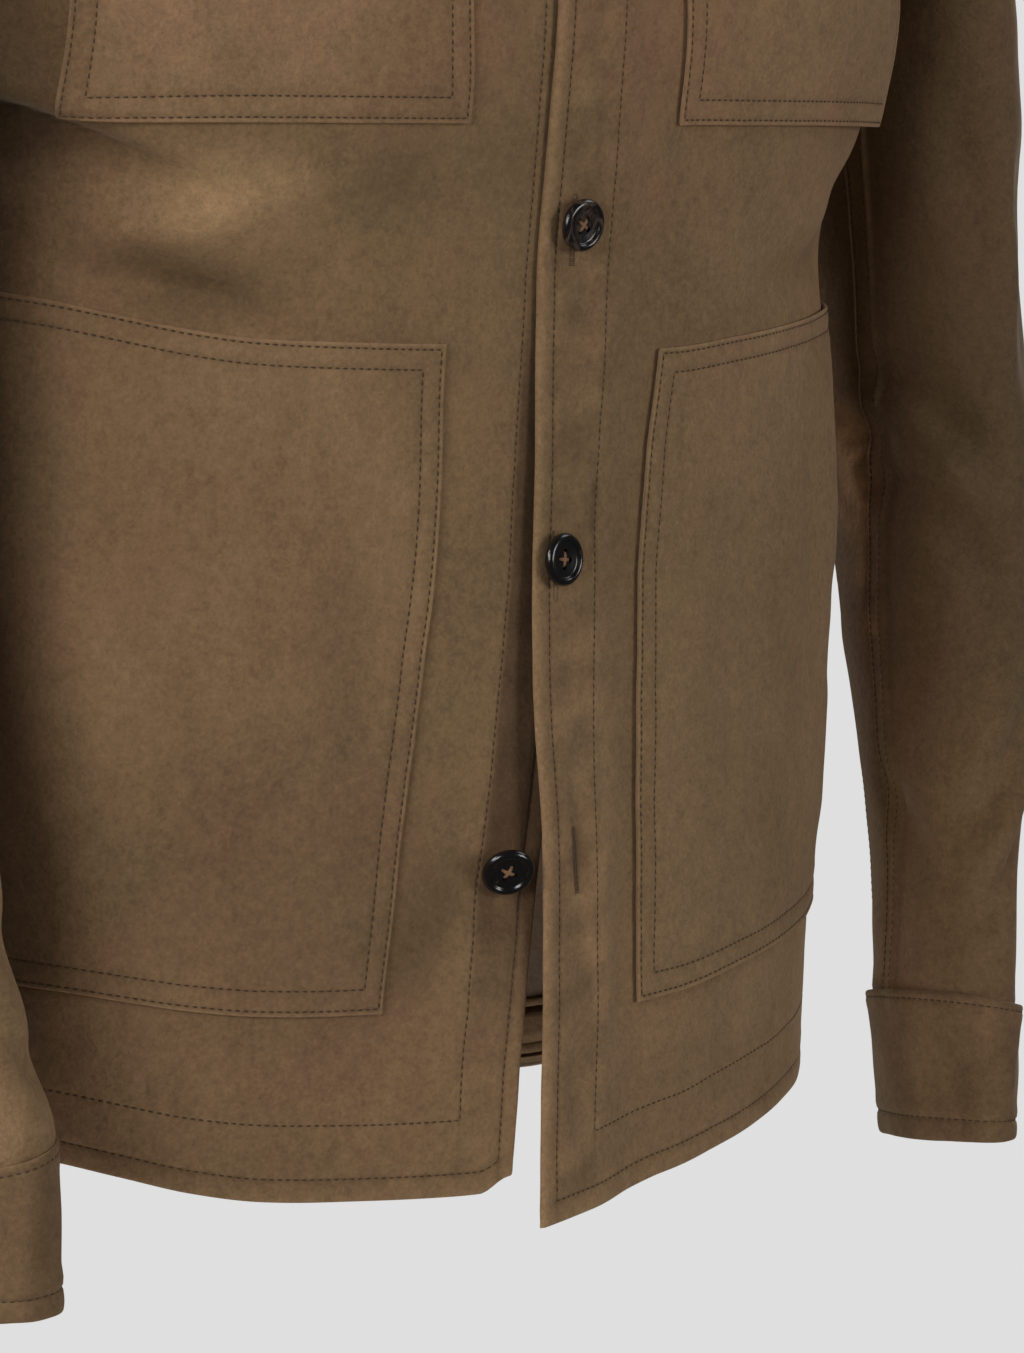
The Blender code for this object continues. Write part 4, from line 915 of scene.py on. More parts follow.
def pocket_panel(name):
    side, (low, high), flare, puff = POCKET_SPEC[name]
    left, big = side == "L", "low" in name
    a1, a2 = POCKET_STITCH
    wide = 0.240 if big else 0.155
    tall = high - low
    far = [] if big else [wide - a1, wide - a2]
    cs = spaced([0.0] + ends_fine(0.0, wide, 1.0 * MM) + [wide], 3.2 * MM, fine=[a1, a2] + far, fine_reach=1.1 * MM)
    cs = np.unique(np.clip(cs, 0, wide))
    hs = spaced([0.0] + ends_fine(0.0, tall, 1.0 * MM) + [tall], 3.2 * MM, fine=(a1, a2, tall - a1, tall - a2), fine_reach=1.1 * MM)
    hs = np.unique(np.clip(hs, 0, tall))
    c, h = np.meshgrid(cs, hs)
    w = low + h
    inner = curve(POCKET_EDGE[:, 0] * MM, POCKET_EDGE[:, 1 if left else 2] * MM, w)
    e, f, last = front_knots(side, w)
    outer = last - 4 * MM if big else 0.220 + 0 * w
    p = np.where(c <= 0.030, inner + c, inner + 0.030 + (outer - inner - 0.030) * (c - 0.030) / (wide - 0.030))
    if not big:
        p = np.where(c >= wide - 0.030, outer - (wide - c), np.where(
            c <= 0.030, p, inner + 0.030 + (outer - inner - 0.060) * (c - 0.030) / (wide - 0.060)))
    if left:
        s = e + p
    else:
        s = EDGE_CLOSED_RIGHT - p + (e - EDGE_CLOSED_RIGHT) * np.maximum(0.0, 1 - p / last)
    d_in, d_out = p - inner, outer - p
    d_low, d_top = h, tall - h
    d_side = np.minimum(d_in, d_out) if not big else d_in
    d_edge = np.minimum(np.minimum(d_side, d_low), d_top)
    lift = groove(d_edge - a1, 0.40 * MM, 0.7 * MM, 0.10 * MM, 2.4 * MM)
    inside = smooth(a2 - 1.2 * MM, a2 + 0.6 * MM, d_edge)
    second = np.minimum(np.minimum(d_side - a2, d_low - a2), d_top - a2)
    lift = lift + groove(second, 0.42 * MM, 0.8 * MM, 0.25 * MM, 3.2 * MM)
    lift = lift + puff * MM * smooth(0, 0.05, d_edge - a2) * inside * (0.7 + 0.3 * waves(s / MM, w / MM, 21, 90))
    lift = lift + flare * MM * bell(np.hypot(d_out / 0.055, d_low / 0.05)) + 0.35 * MM * bell(d_edge / (3.2 * MM))
    lift = lift + (waves(s / MM, w / MM, 31, 46) * 0.25) * MM * smooth(0, 0.02, d_edge)
    base = SEAM_GAP + 1.9 * MM
    pts = on_front(side, s, w, lift + base)
    mats = [SUEDE_POCKET, REVERSE]
    attrs = tones_and_shade(s, w, 0.03)
    # lighter along the turned edge: painted highlight; darker along both stitch lines: painted shade in their grooves
    attrs["tone_and_shade"] = attrs["tone_and_shade"] + 0.36 * bell(d_edge / (1.5 * MM)) - 0.20 * bell((d_edge - a1) / (0.9 * MM)) - 0.20 * bell(second / (1.0 * MM))
    obj = sheet_mesh("coat_" + name, pts, 1.7 * MM, mats, edge_r=1.0 * MM, flip=not left, attrs=attrs)
    keep(obj, [name])
    n = grid_normal(pts) * (1 if left else -1)
    st = Stitches()
    for a in (a1, a2):
        j0 = int(np.abs(cs - a).argmin())
        j1 = len(cs) - 1 if big else int(np.abs(cs - (wide - a)).argmin())
        i0, i1 = int(np.abs(hs - a).argmin()), int(np.abs(hs - (tall - a)).argmin())
        st.line(pts[i0:i1 + 1, j0], n[i0:i1 + 1, j0])
        st.line(pts[i0, j0:j1 + 1], n[i0, j0:j1 + 1])
        st.line(pts[i1, j0:j1 + 1], n[i1, j0:j1 + 1])
        if not big:
            st.line(pts[i0:i1 + 1, j1], n[i0:i1 + 1, j1])
    return obj, pts, n, st


# ------------------------------------------------------------------ the back
def back_panel():
    cs = spaced([-1.0, -0.5, 0.0, 0.5, 1.0], 0.0175, fine=(-0.997, 0.997), fine_step=0.0012, fine_reach=0.003)
    cs = np.unique(np.clip(cs, -1, 1))[::-1]      # from the wearer's left side to the right
    hem = HEM_BACK
    ws = spaced([hem] + ends_fine(hem, 0.0, 1.2 * MM) + [0.0], 5.2 * MM, fine=(hem + HEM_STITCH, hem + HEM_FACING))
    ws = np.unique(np.clip(ws, hem, 0.0))

    def place(c, w):
        g = look(GIRTH, w)
        seam = np.where(w <= UNDERARM, look(SIDE, w), look(ARM_B, w))
        d = np.abs(c) * (g - seam - SEAM_GAP / 2)
        return (g - d) * np.where(c >= 0, 1, -1), d
    top = np.zeros_like(cs)
    for _ in range(9):
        top = neck_back(place(cs, top)[1])
    c, w = np.meshgrid(cs, ws)
    w = w + top[None] * smooth(-0.19, 0.0, ws)[:, None]
    s, d = place(c, w)
    full = look(GIRTH, w) - np.where(w <= UNDERARM, look(SIDE, w), look(ARM_B, w))
    hem_line = (ws - hem)[:, None] + 0 * c
    lift = groove(hem_line - HEM_STITCH) + groove(hem_line - HEM_FACING, 0.30 * MM, 0.7 * MM, 0.16 * MM)
    lift = lift + 0.35 * MM * bell((hem_line - 2.2 * MM) / (2.2 * MM))
    lift = lift - 0.9 * MM * bell((full - d) / (2.2 * MM)) + 0.5 * MM * bell((full - d - 5 * MM) / (3.5 * MM))
    pts = cloth(s, w, lift)
    dx = np.where(s >= 0, look(GIRTH, w) - s, -(look(GIRTH, w) + s))
    attrs = {"tone_and_shade": 0.12 * waves(dx / MM, w / MM, 41, 160), "warm": 0.4 * waves(dx / MM, w / MM, 43, 130)}
    obj = sheet_mesh("coat_back", pts, 1.6 * MM, [SUEDE_BACK, REVERSE], edge_r=1.1 * MM, attrs=attrs)
    keep(obj, ["back"])
    n = grid_normal(pts)
    st = Stitches()
    i, i2 = int(np.abs(ws - hem - HEM_STITCH).argmin()), int(np.abs(ws - hem - HEM_FACING).argmin())
    st.line(pts[i], n[i])
    st.line(pts[i2], n[i2])
    # the facing inside the hem
    fi = int(np.abs(ws - hem - HEM_FACING - 1.5 * MM).argmin())
    lo = int(np.abs(ws - hem - 1.6 * MM).argmin())
    inner = pts[lo:fi + 1, 2:-2] - n[lo:fi + 1, 2:-2] * (1.6 * MM + SEAM_GAP)
    keep(sheet_mesh("coat_back_hem_facing", inner, 1.2 * MM, [SUEDE_BACK, SUEDE_BACK], edge_r=0.7 * MM, attrs={
        "tone_and_shade": 0.05, "warm": 0.0}), ["back_hem_facing"])
    return obj, pts, n, st


# ------------------------------------------------------------------ sleeves
def arm_row(z):
    v = [curve(ARM[::-1, 0] * MM, ARM[::-1, k], z) for k in range(1, 7)]
    return v[0] * MM, v[1] * MM, v[2] * MM, v[3] * MM, np.radians(v[4]), v[5] * MM


def arm_point(alpha, z, out=0.0):
    alpha, z = np.broadcast_arrays(np.asarray(alpha, float), np.asarray(z, float))
    cx, cy, p, q, turn, tilt = arm_row(z)
    z_hi, z_lo = np.minimum(z + MM, ARM[0, 0] * MM), np.maximum(z - MM, ARM[-1, 0] * MM)
    hi, lo = arm_row(z_hi), arm_row(z_lo)
    along = unit(np.stack([lo[0] - hi[0], lo[1] - hi[1], z_lo - z_hi], -1))
    fore = np.stack([np.sin(turn), np.cos(turn), np.zeros(z.shape)], -1)
    outward = unit(np.cross(fore, -along))
    fore = np.cross(-along, outward)
    at = np.stack([cx, cy, z], -1) + outward * ((p + out) * np.cos(alpha))[..., None] \
        - fore * ((q + out) * np.sin(alpha))[..., None]
    at[..., 2] -= tilt * np.cos(alpha)
    return at


# depth, width right, width left, fade in, fade out, path of (degrees round the arm, z); 0 is outer, 90 front, 180 inner
SLEEVE_FOLDS = {
    "left": [
        (-5.0, 12, 8, 0.15, 0.45, [(175, -430), (140, -446), (105, -470), (70, -486)]),
        (-4.5, 9, 12, 0.15, 0.45, [(185, -476), (150, -484), (118, -504), (84, -528)]),
        (-4.0, 9, 9, 0.20, 0.45, [(200, -458), (165, -462), (128, -458), (96, -446)]),
        (3.0, 9, 9, 0.25, 0.40, [(170, -458), (140, -464), (110, -486)]),
        (-4.0, 12, 10, 0.30, 0.40, [(60, -560), (92, -590), (120, -606), (150, -604)]),
        (-3.2, 8, 8, 0.25, 0.40, [(50, -612), (80, -636), (118, -650), (150, -640)]),
        (-3.0, 8, 10, 0.25, 0.45, [(205, -590), (170, -616), (140, -640), (112, -664)]),
        (2.4, 9, 9, 0.30, 0.40, [(60, -590), (90, -616), (120, -630)]),
        (-3.6, 16, 12, 0.25, 0.45, [(120, -310), (112, -350), (98, -400)]),
        (-3.0, 14, 16, 0.30, 0.40, [(66, -330), (60, -400), (66, -470)]),
        (2.4, 16, 16, 0.30, 0.40, [(92, -330), (84, -400), (84, -440)]),
        (-3.6, 14, 10, 0.15, 0.55, [(30, -120), (60, -170), (96, -220), (140, -262)]),
        (-3.0, 12, 14, 0.25, 0.45, [(330, -140), (300, -190), (262, -240), (222, -272)]),
        (-3.4, 16, 12, 0.25, 0.45, [(285, -360), (300, -420), (322, -480)]),
        (-3.6, 11, 9, 0.25, 0.45, [(232, -470), (262, -486), (296, -480)]),
        (-3.4, 10, 12, 0.25, 0.45, [(226, -520), (258, -536), (292, -530)]),
        (-2.6, 12, 12, 0.30, 0.45, [(20, -470), (10, -530), (18, -600)]),
        (-2.4, 14, 14, 0.30, 0.40, [(330, -560), (336, -610), (326, -660)])],
    "right": [
        (-4.6, 11, 8, 0.15, 0.45, [(176, -444), (142, -456), (108, -482), (72, -498)]),
        (-4.6, 9, 12, 0.15, 0.45, [(186, -492), (152, -500), (120, -516), (84, -536)]),
        (3.0, 9, 9, 0.25, 0.40, [(170, -474), (140, -480), (112, -500)]),
        (-4.0, 9, 9, 0.20, 0.45, [(200, -470), (166, -468), (130, -462), (98, -452)]),
        (-4.2, 12, 10, 0.30, 0.40, [(46, -566), (80, -596), (112, -612), (150, -610)]),
        (-3.2, 8, 8, 0.25, 0.40, [(40, -622), (76, -642), (114, -654), (150, -648)]),
        (-3.2, 16, 12, 0.25, 0.45, [(118, -316), (108, -360), (96, -410)]),
        (-2.8, 14, 16, 0.30, 0.40, [(60, -340), (56, -410), (62, -476)]),
        (2.2, 16, 16, 0.30, 0.40, [(88, -340), (82, -400), (80, -446)]),
        (-3.6, 14, 10, 0.15, 0.55, [(34, -126), (64, -176), (98, -226), (142, -262)]),
        (-3.0, 12, 14, 0.25, 0.45, [(326, -146), (298, -196), (260, -244), (222, -272)]),
        (-3.4, 16, 12, 0.25, 0.45, [(282, -352), (298, -416), (318, -470)]),
        (-3.4, 11, 9, 0.25, 0.45, [(236, -480), (266, -494), (300, -488)]),
        (-3.2, 10, 12, 0.25, 0.45, [(230, -532), (262, -546), (296, -540)]),
        (-2.6, 12, 12, 0.30, 0.45, [(16, -480), (6, -540), (14, -610)]),
        (-2.4, 14, 14, 0.30, 0.40, [(334, -570), (340, -620), (330, -664)])]}
SLEEVE_SEAM_FRONT, SLEEVE_SEAM_BACK = 166.0, 250.0      # degrees round the arm, half way down
# the front seam turns towards the inside on its way down: z, degrees
SEAM_TURN = np.array([(-742, 191.0), (-687, 190.5), (-650, 189.5), (-600, 187.0), (-550, 183.0), (-500, 177.0), (-460, 171.0),
                      (-420, 166.0), (-380, 163.0), (-320, 160.0), (-250, 158.0)])


def sleeve(side):
    mirror = 1 if side == "left" else -1
    marks = [0.0] + [SLEEVE_SEAM_FRONT, SLEEVE_SEAM_BACK] + [360.0]
    deg = spaced(marks, 4.4, fine=(SLEEVE_SEAM_FRONT, SLEEVE_SEAM_BACK), fine_step=0.75, fine_reach=7.5)
    alpha = np.radians(deg)

    def slid(z):
        """The columns' angles at height z: the front seam's column follows the seam."""
        shift = curve(SEAM_TURN[:, 0] * MM, SEAM_TURN[:, 1], z) - SLEEVE_SEAM_FRONT
        return deg + shift * bell((deg - SLEEVE_SEAM_FRONT - 0.3 * shift) / 52)
    # the armhole's edge on the worn cloth
    wl = -(np.linspace(0, np.sqrt(0.272), 260) ** 2)
    wl = np.sort(np.unique(np.concatenate([wl, np.linspace(-0.272, -0.255, 40)])))[::-1]

    def edge(table):
        s = look(table, wl) * mirror
        pts = cloth(s, wl) * np.array((mirror, 1, 1))
        run = np.concatenate([[0], np.cumsum(np.linalg.norm(np.diff(form(np.abs(s), wl), axis=0), axis=1))])
        return pts, run / run[-1]
    fp, ft = edge(ARM_F)
    bp, bt = edge(ARM_B)
    start = np.zeros((len(alpha), 3))
    for k in range(3):
        start[:, k] = np.where(alpha <= pi, np.interp(np.clip(alpha / pi, 0, 1), ft, fp[:, k]),
                               np.interp(np.clip(2 - alpha / pi, 0, 1), bt, bp[:, k]))
    us = np.concatenate([[0, 0.002, 0.005, 0.010, 0.018, 0.03, 0.045], np.linspace(0.065, 1.0, 44)])
    top_alpha = np.radians(slid(CAP_END))
    end = arm_point(top_alpha, CAP_END)
    run = unit(arm_point(top_alpha, CAP_END - 0.01) - end)
    leave = unit(np.stack([np.ones_like(alpha), np.full_like(alpha, -0.10), -0.35 - 0.275 * (1 - np.cos(alpha))], -1))
    dist = np.linalg.norm(end - start, axis=1)[:, None]
    begin = start + leave * 2 * SEAM_GAP
    u = us[:, None, None]
    cap = ((2 * u**3 - 3 * u**2 + 1) * begin + (u**3 - 2 * u**2 + u) * (dist * leave)
           + (-2 * u**3 + 3 * u**2) * end + (u**3 - u**2) * 1.1 * (dist * run))
    foot_z = CUFF_TOP - 2.0 * MM                  # its raw end is tucked behind the cuff's top edge
    zs = spaced([CAP_END, foot_z], 4.4 * MM)
    zs = np.unique(np.concatenate([zs, foot_z + np.array([0.3, 0.8, 1.6, 2.4, 3.4]) * MM]))[::-1][1:]
    arm = arm_point(np.radians(np.array([slid(v) for v in zs])), zs[:, None])
    p = np.concatenate([cap, arm])
    p = p[::-1]                                   # cuff at the bottom row
    n = grid_normal(p, True)
    centre = p.mean(axis=1, keepdims=True)
    if ((p - centre) * n).sum() < 0:
        n = -n
    cols_deg = np.broadcast_to(deg, p.shape[:2])
    degs = np.array([slid(v) for v in np.minimum(p[..., 2].mean(axis=1), CAP_END)])
    z = p[..., 2] / MM
    mmx = 0.85                                    # mm of cloth for each degree, near enough
    off = np.zeros(p.shape[:2])
    for turn in (-360, 0, 360):
        table = [(d * 1.35, a, b, fi, fo, [(x * mmx, y) for x, y in path]) for d, a, b, fi, fo, path in SLEEVE_FOLDS[side]]
        off += folds((degs + turn) * mmx, z, table)
    x3, y3 = p[..., 0] / MM, p[..., 1] / MM
    off += waves(y3 + x3 * 0.6, z, 51 if side == "left" else 53, 95) * 0.9 + waves(y3 - x3, z, 57, 44) * 0.3
    total = np.concatenate([np.zeros((1, len(deg))), np.cumsum(np.linalg.norm(np.diff(p, axis=0), axis=2), axis=0)])
    from_cap = total[-1:] - total
    calm = smooth(0, 0.035, from_cap) * smooth(0, 0.012, total)
    off = off * calm
    off[:, -1] = off[:, 0]
    seam_lift = np.zeros_like(off)
    for seam in (SLEEVE_SEAM_FRONT, SLEEVE_SEAM_BACK):
        dd = (cols_deg - seam) * mmx
        seam_lift += 0.95 * (smooth(-4.4, -3.3, dd) - smooth(3.3, 4.4, dd)) + 0.35 * bell((np.abs(dd) - 3.2) / 0.8) - 0.45 * bell((np.abs(dd) - 5.4) / 1.2)
    cap_seam = -0.6 * bell(from_cap / (2.0 * MM)) + 1.3 * bell((from_cap - 7 * MM) / (6 * MM)) * smooth(1.0, -0.2, np.cos(np.pi - alpha))[None]
    foot = -0.2 * bell(total / (2.0 * MM)) + 0.5 * bell((total - 5 * MM) / (4 * MM))
    taper = -2.1 * (1 - smooth(0.0, 0.10, total))
    p = p + n * ((off + seam_lift + cap_seam + foot + taper) * MM)[..., None]
    p[:, -1] = p[:, 0]
    p = p * np.array((mirror, 1, 1))
    attrs = {"tone_and_shade": 0.05 * waves(degs, z, 61, 150), "warm": 0.35 * waves(degs, z, 63 if side == "left" else 65, 120)}
    if side == "left":
        # painted shade: the left sleeve is darker all over, more so at the elbow and low down, where the body shades
        # it; the light patches at the inner elbow are a brushed patch with a painted highlight
        attrs["tone_and_shade"] = attrs["tone_and_shade"] - 0.50 - 0.28 * bell((z + 440) / 120) + 3.4 * bell(np.hypot((degs - 193) / 12, (z + 474) / 26)) * (0.7 + 0.6 * waves(degs, z, 67, 22)) \
            + 1.0 * bell(np.hypot((degs - 186) / 10, (z + 520) / 34)) * (0.6 + 0.5 * waves(degs, z, 69, 26))
        attrs["tone_and_shade"] = attrs["tone_and_shade"] - 0.20 * smooth(-620, -500, z) * (1 - bell((degs - 195) / 16)) \
            + 0.8 * bell(np.hypot((degs - 195) / 12, (z + 405) / 40))
    obj = sheet_mesh("coat_sleeve_" + side, p, 1.6 * MM, [SUEDE_SLEEVE, REVERSE], edge_r=1.1 * MM, edges="TB",
                     closed=True, flip=(mirror > 0), attrs=attrs)
    keep(obj, ["sleeve_outer_" + side, "sleeve_inner_" + side])
    n = grid_normal(p, True) * (-1 if mirror > 0 else 1)
    st = Stitches()
    for seam in (SLEEVE_SEAM_FRONT, SLEEVE_SEAM_BACK):
        for k in (-2.4, 2.4):
            j = int(np.abs(deg - seam - k / mmx).argmin())
            st.line(p[2:-4, j], n[2:-4, j])
    return obj, p, n, st


def cuff(side):
    mirror = 1 if side == "left" else -1
    deg = spaced([0.0, 360.0], 4.2)
    alpha = np.radians(deg)
    hi = CUFF_TOP + 0.4 * MM
    a1, a2 = 3.0 * MM, 8.5 * MM
    zs = spaced([CUFF_END] + ends_fine(CUFF_END, hi, 1.3 * MM) + [hi], 2.0 * MM, fine=(CUFF_END + a2, hi - a1), fine_reach=1.2 * MM)
    zs = np.unique(np.clip(zs, CUFF_END, hi))
    p = arm_point(alpha[None], zs[:, None], 0.2 * MM)
    n = grid_normal(p, True)
    if ((p - p.mean(axis=1, keepdims=True)) * n).sum() < 0:
        n = -n
    z = (zs[:, None] + 0 * deg[None]) / MM
    degs = np.broadcast_to(deg, z.shape)
    up = zs[:, None] - CUFF_END
    down = hi - zs[:, None]
    lift = groove(up - a2) + groove(down - a1, 0.35 * MM, 0.7 * MM, 0.15 * MM, 2.4 * MM) + 0.4 * MM * bell((up - 2.4 * MM) / (2.2 * MM))
    lift = lift + 0.5 * MM * bell((down - 3.0 * MM) / (4.0 * MM))
    uneven = (waves(np.cos(alpha)[None] * 60, z + np.sin(alpha)[None] * 70, 71 if side == "left" else 73, 60) * 0.8)
    uneven = uneven - 1.6 * bell(np.hypot((degs - 120) / 22, (z + 712) / 30)) + 1.0 * bell(np.hypot((degs - 80) / 20, (z + 718) / 30))
    uneven = uneven - 1.4 * bell(np.hypot((degs - 300) / 22, (z + 712) / 30))
    p = p + n * (lift + uneven * MM)[..., None]
    p[:, -1] = p[:, 0]
    p = p * np.array((mirror, 1, 1))
    # the cuffs' darker tone is painted shade, where the light falls off low on the sleeves
    obj = sheet_mesh("coat_cuff_" + side, p, 1.9 * MM, [SUEDE_SLEEVE, REVERSE], edge_r=1.3 * MM, edges="TB", closed=True,
                     flip=(mirror > 0), attrs={"tone_and_shade": 0.10 * waves(degs, z, 75, 60) - (0.62 if side == "left" else 0.66), "warm": 0.3 * waves(degs, z, 77, 60)})
    keep(obj, ["cuff_" + side])
    n = grid_normal(p, True) * (-1 if mirror > 0 else 1)
    st = Stitches()
    for mark in (CUFF_END + a2, hi - a1):
        i = int(np.abs(zs - mark).argmin())
        st.line(p[i], n[i])
    return obj, p, n, st


# ------------------------------------------------------------------ collar
def fall_line(want):
    keys = np.array([
        (0.00, 62.0, -168.0), (0.12, 80.0, -112.0), (0.22, 100.0, -60.0), (0.28, 116.0, -22.0), (0.32, 121.0, -4.0),
        (0.345, 120.0, -0.3)])
    half = [form(s * MM, w * MM) for _, s, w in keys]
    normals = [form_normal(s * MM, w * MM) for _, s, w in keys]
    normals[-1] = np.array((0.3, 0.0, 0.95))
    shares = list(keys[:, 0])
    for share, d, w in ((0.375, 117.0, -5.0), (0.40, 100.0, -28.0), (0.44, 62.0, -50.0), (0.50, 0.0, -60.0)):
        g = float(look(GIRTH, np.array(w * MM)))
        half.append(form(g - d * MM, w * MM))
        normals.append(form_normal(g - max(d, 4.0) * MM, w * MM))
        shares.append(share)
    half, normals = np.array(half), np.array(normals)
    normals[-1, 0] = 0
    flip = np.array((-1.0, 1.0, 1.0))
    points = np.concatenate([half * flip, half[::-1][1:]])
    outward = np.concatenate([normals * flip, normals[::-1][1:]])
    at = np.array(shares + [1 - v for v in shares[::-1][1:]])
    got = np.stack([curve(at, points[:, k], want) for k in range(3)], -1)
    n = np.stack([curve(at, outward[:, k], want) for k in range(3)], -1)
    return got, unit(n)


def resampled(line, count):
    run = np.concatenate([[0], np.cumsum(np.linalg.norm(np.diff(line, axis=0), axis=1))])
    t = np.linspace(0, run[-1], count)
    return np.stack([np.interp(t, run, line[:, k]) for k in range(3)], -1)


def relaxed(a, rounds):
    for _ in range(rounds):
        b = a.copy()
        b[1:-1] = (a[:-2] + 2 * a[1:-1] + a[2:]) / 4
        a = b
    return a


def through(rows, count):
    """Rows of points joined by a smooth surface, with count rows."""
    q = np.concatenate([2 * rows[:1] - rows[1:2], rows, 2 * rows[-1:] - rows[-2:-1]])
    out = []
    for x in np.linspace(0, len(rows) - 1, count):
        k = min(int(x), len(rows) - 2)
        t = x - k
        a, b, c, d = q[k], q[k + 1], q[k + 2], q[k + 3]
        out.append(0.5 * (2 * b + (c - a) * t + (2 * a - 5 * b + 4 * c - d) * t**2 + (3 * b - a - 3 * c + d) * t**3))
    return np.array(out)


def collar(right, back, left):
    def in_neck(row):
        return row[np.abs(row[:, 0]) < NECK_HALF]
    line = np.concatenate([in_neck(right), in_neck(back[::-1]), in_neck(left)[::-1]])
    base = relaxed(resampled(line, 150), 5)
    count = len(base)
    centre = np.array((0.0, -8 * MM, 0.0))
    away = base - centre
    away[:, 2] = 0
    away = unit(away)
    share = np.linspace(0, 1, count)
    under = (1 - smooth(0.045, 0.14, share)) * 4.5 * MM
    up = np.array((0, 0, 1.0))
    foot = base + up * 0.8 * MM - away * under[:, None]
    lean = 7 * MM
    ks = np.concatenate([[0, 0.015, 0.04, 0.07], np.linspace(0.12, 0.9, 10), [0.95, 0.985, 1.0]])
    outer = np.array([foot + up * STAND_HEIGHT * k - away * lean * k for k in ks])
    obj = sheet_mesh("coat_collar_stand", outer, COLLAR_WALL, [SUEDE_COLLAR, SUEDE_COLLAR], edge_r=1.1 * MM, attrs={
        "tone_and_shade": -0.05, "warm": 0.0})
    keep(obj, ["collar_stand"])
    top = outer[-1] - away * COLLAR_WALL / 2
    ends, n = fall_line(share)
    ends = ends + n * (8.0 * MM)
    start = top + up * (SEAM_GAP + 0.2 * MM)
    crown = start + away * 5 * MM + up * 4.0 * MM
    neck_side = outer[-1] + away * 9 * MM - up * 6 * MM
    lower = neck_side * 0.45 + ends * 0.55 + (away + n) * 4.0 * MM
    lo, hi = int(0.032 * count), int(0.968 * count)
    thick = [-away * 1.1 * MM + up * 0.9 * MM, away * 0.2 * MM + up * COLLAR_WALL * 0.85,
             away * COLLAR_WALL, (away + n) / 2 * COLLAR_WALL * 1.1, n * COLLAR_WALL]
    rows = (np.array([start, crown, neck_side, lower, ends]) + np.array(thick))[:, lo:hi]
    leaf = through(rows, 46)
    cols = np.concatenate([[0, 0.15, 0.45, 0.8, 1.2], np.arange(2, leaf.shape[1] - 2), leaf.shape[1] - 1 - np.array([1.2, 0.8, 0.45, 0.15, 0])])
    cols = np.clip(cols, 0, leaf.shape[1] - 1)
    k = np.minimum(cols.astype(int), leaf.shape[1] - 2)
    f = (cols - k)[None, :, None]
    leaf = leaf[:, k] * (1 - f) + leaf[:, k + 1] * f
    run = np.concatenate([np.zeros((1, leaf.shape[1])), np.cumsum(np.linalg.norm(np.diff(leaf, axis=0), axis=2), axis=0)])
    side_run = np.concatenate([np.zeros((leaf.shape[0], 1)), np.cumsum(np.linalg.norm(np.diff(leaf, axis=1), axis=2), axis=1)], 1)
    d_end = run[-1:] - run
    d_side = np.minimum(side_run, side_run[:, -1:] - side_run)
    d_edge = np.where(d_side < d_end, d_side, d_end)
    nn = grid_normal(leaf)
    if (nn * away[None, lo:hi][:, :1]).sum() < 0:
        pass
    lift = groove(d_edge - 7.0 * MM, 0.4 * MM, 1.2 * MM, 0.2 * MM) + 0.4 * MM * bell(d_edge / (3 * MM))
    leaf = leaf - nn * (-lift)[..., None] * 1.0
    obj = sheet_mesh("coat_collar_leaf", leaf[::-1], COLLAR_WALL, [SUEDE_COLLAR, SUEDE_COLLAR], edge_r=1.1 * MM, attrs={
        "tone_and_shade": 0.02, "warm": 0.1})
    keep(obj, ["collar_leaf"])
    return base, leaf


# ------------------------------------------------------------------ buttons
def lathe(profile, segments, holes=()):
    """Points and faces of a turned disc. holes, (x, y, r) of the sewing holes, is not used."""
    pts, faces = [], []
    for r, h in profile:
        for k in range(segments):
            pts.append((r * cos(2 * pi * k / segments), r * sin(2 * pi * k / segments), h))
    for i in range(len(profile) - 1):
        for k in range(segments):
            m = (k + 1) % segments
            faces.append((i * segments + k, i * segments + m, (i + 1) * segments + m, (i + 1) * segments + k))
    faces.append(tuple(range(segments))[::-1])
    faces.append(tuple((len(profile) - 1) * segments + k for k in range(segments)))
    return pts, faces


BUTTON_PROFILE = [(6.6, 0.0), (8.0, 0.25), (9.0, 0.8), (9.55, 1.5), (9.7, 2.2), (9.6, 2.9), (9.25, 3.5), (8.75, 3.95),
                  (8.2, 4.18), (7.75, 4.2), (7.3, 4.05), (6.95, 3.7), (6.7, 3.3), (6.4, 3.05), (6.0, 2.98), (5.0, 2.9),
                  (4.2, 2.75), (3.0, 2.62), (1.5, 2.58), (0.4, 2.56)]


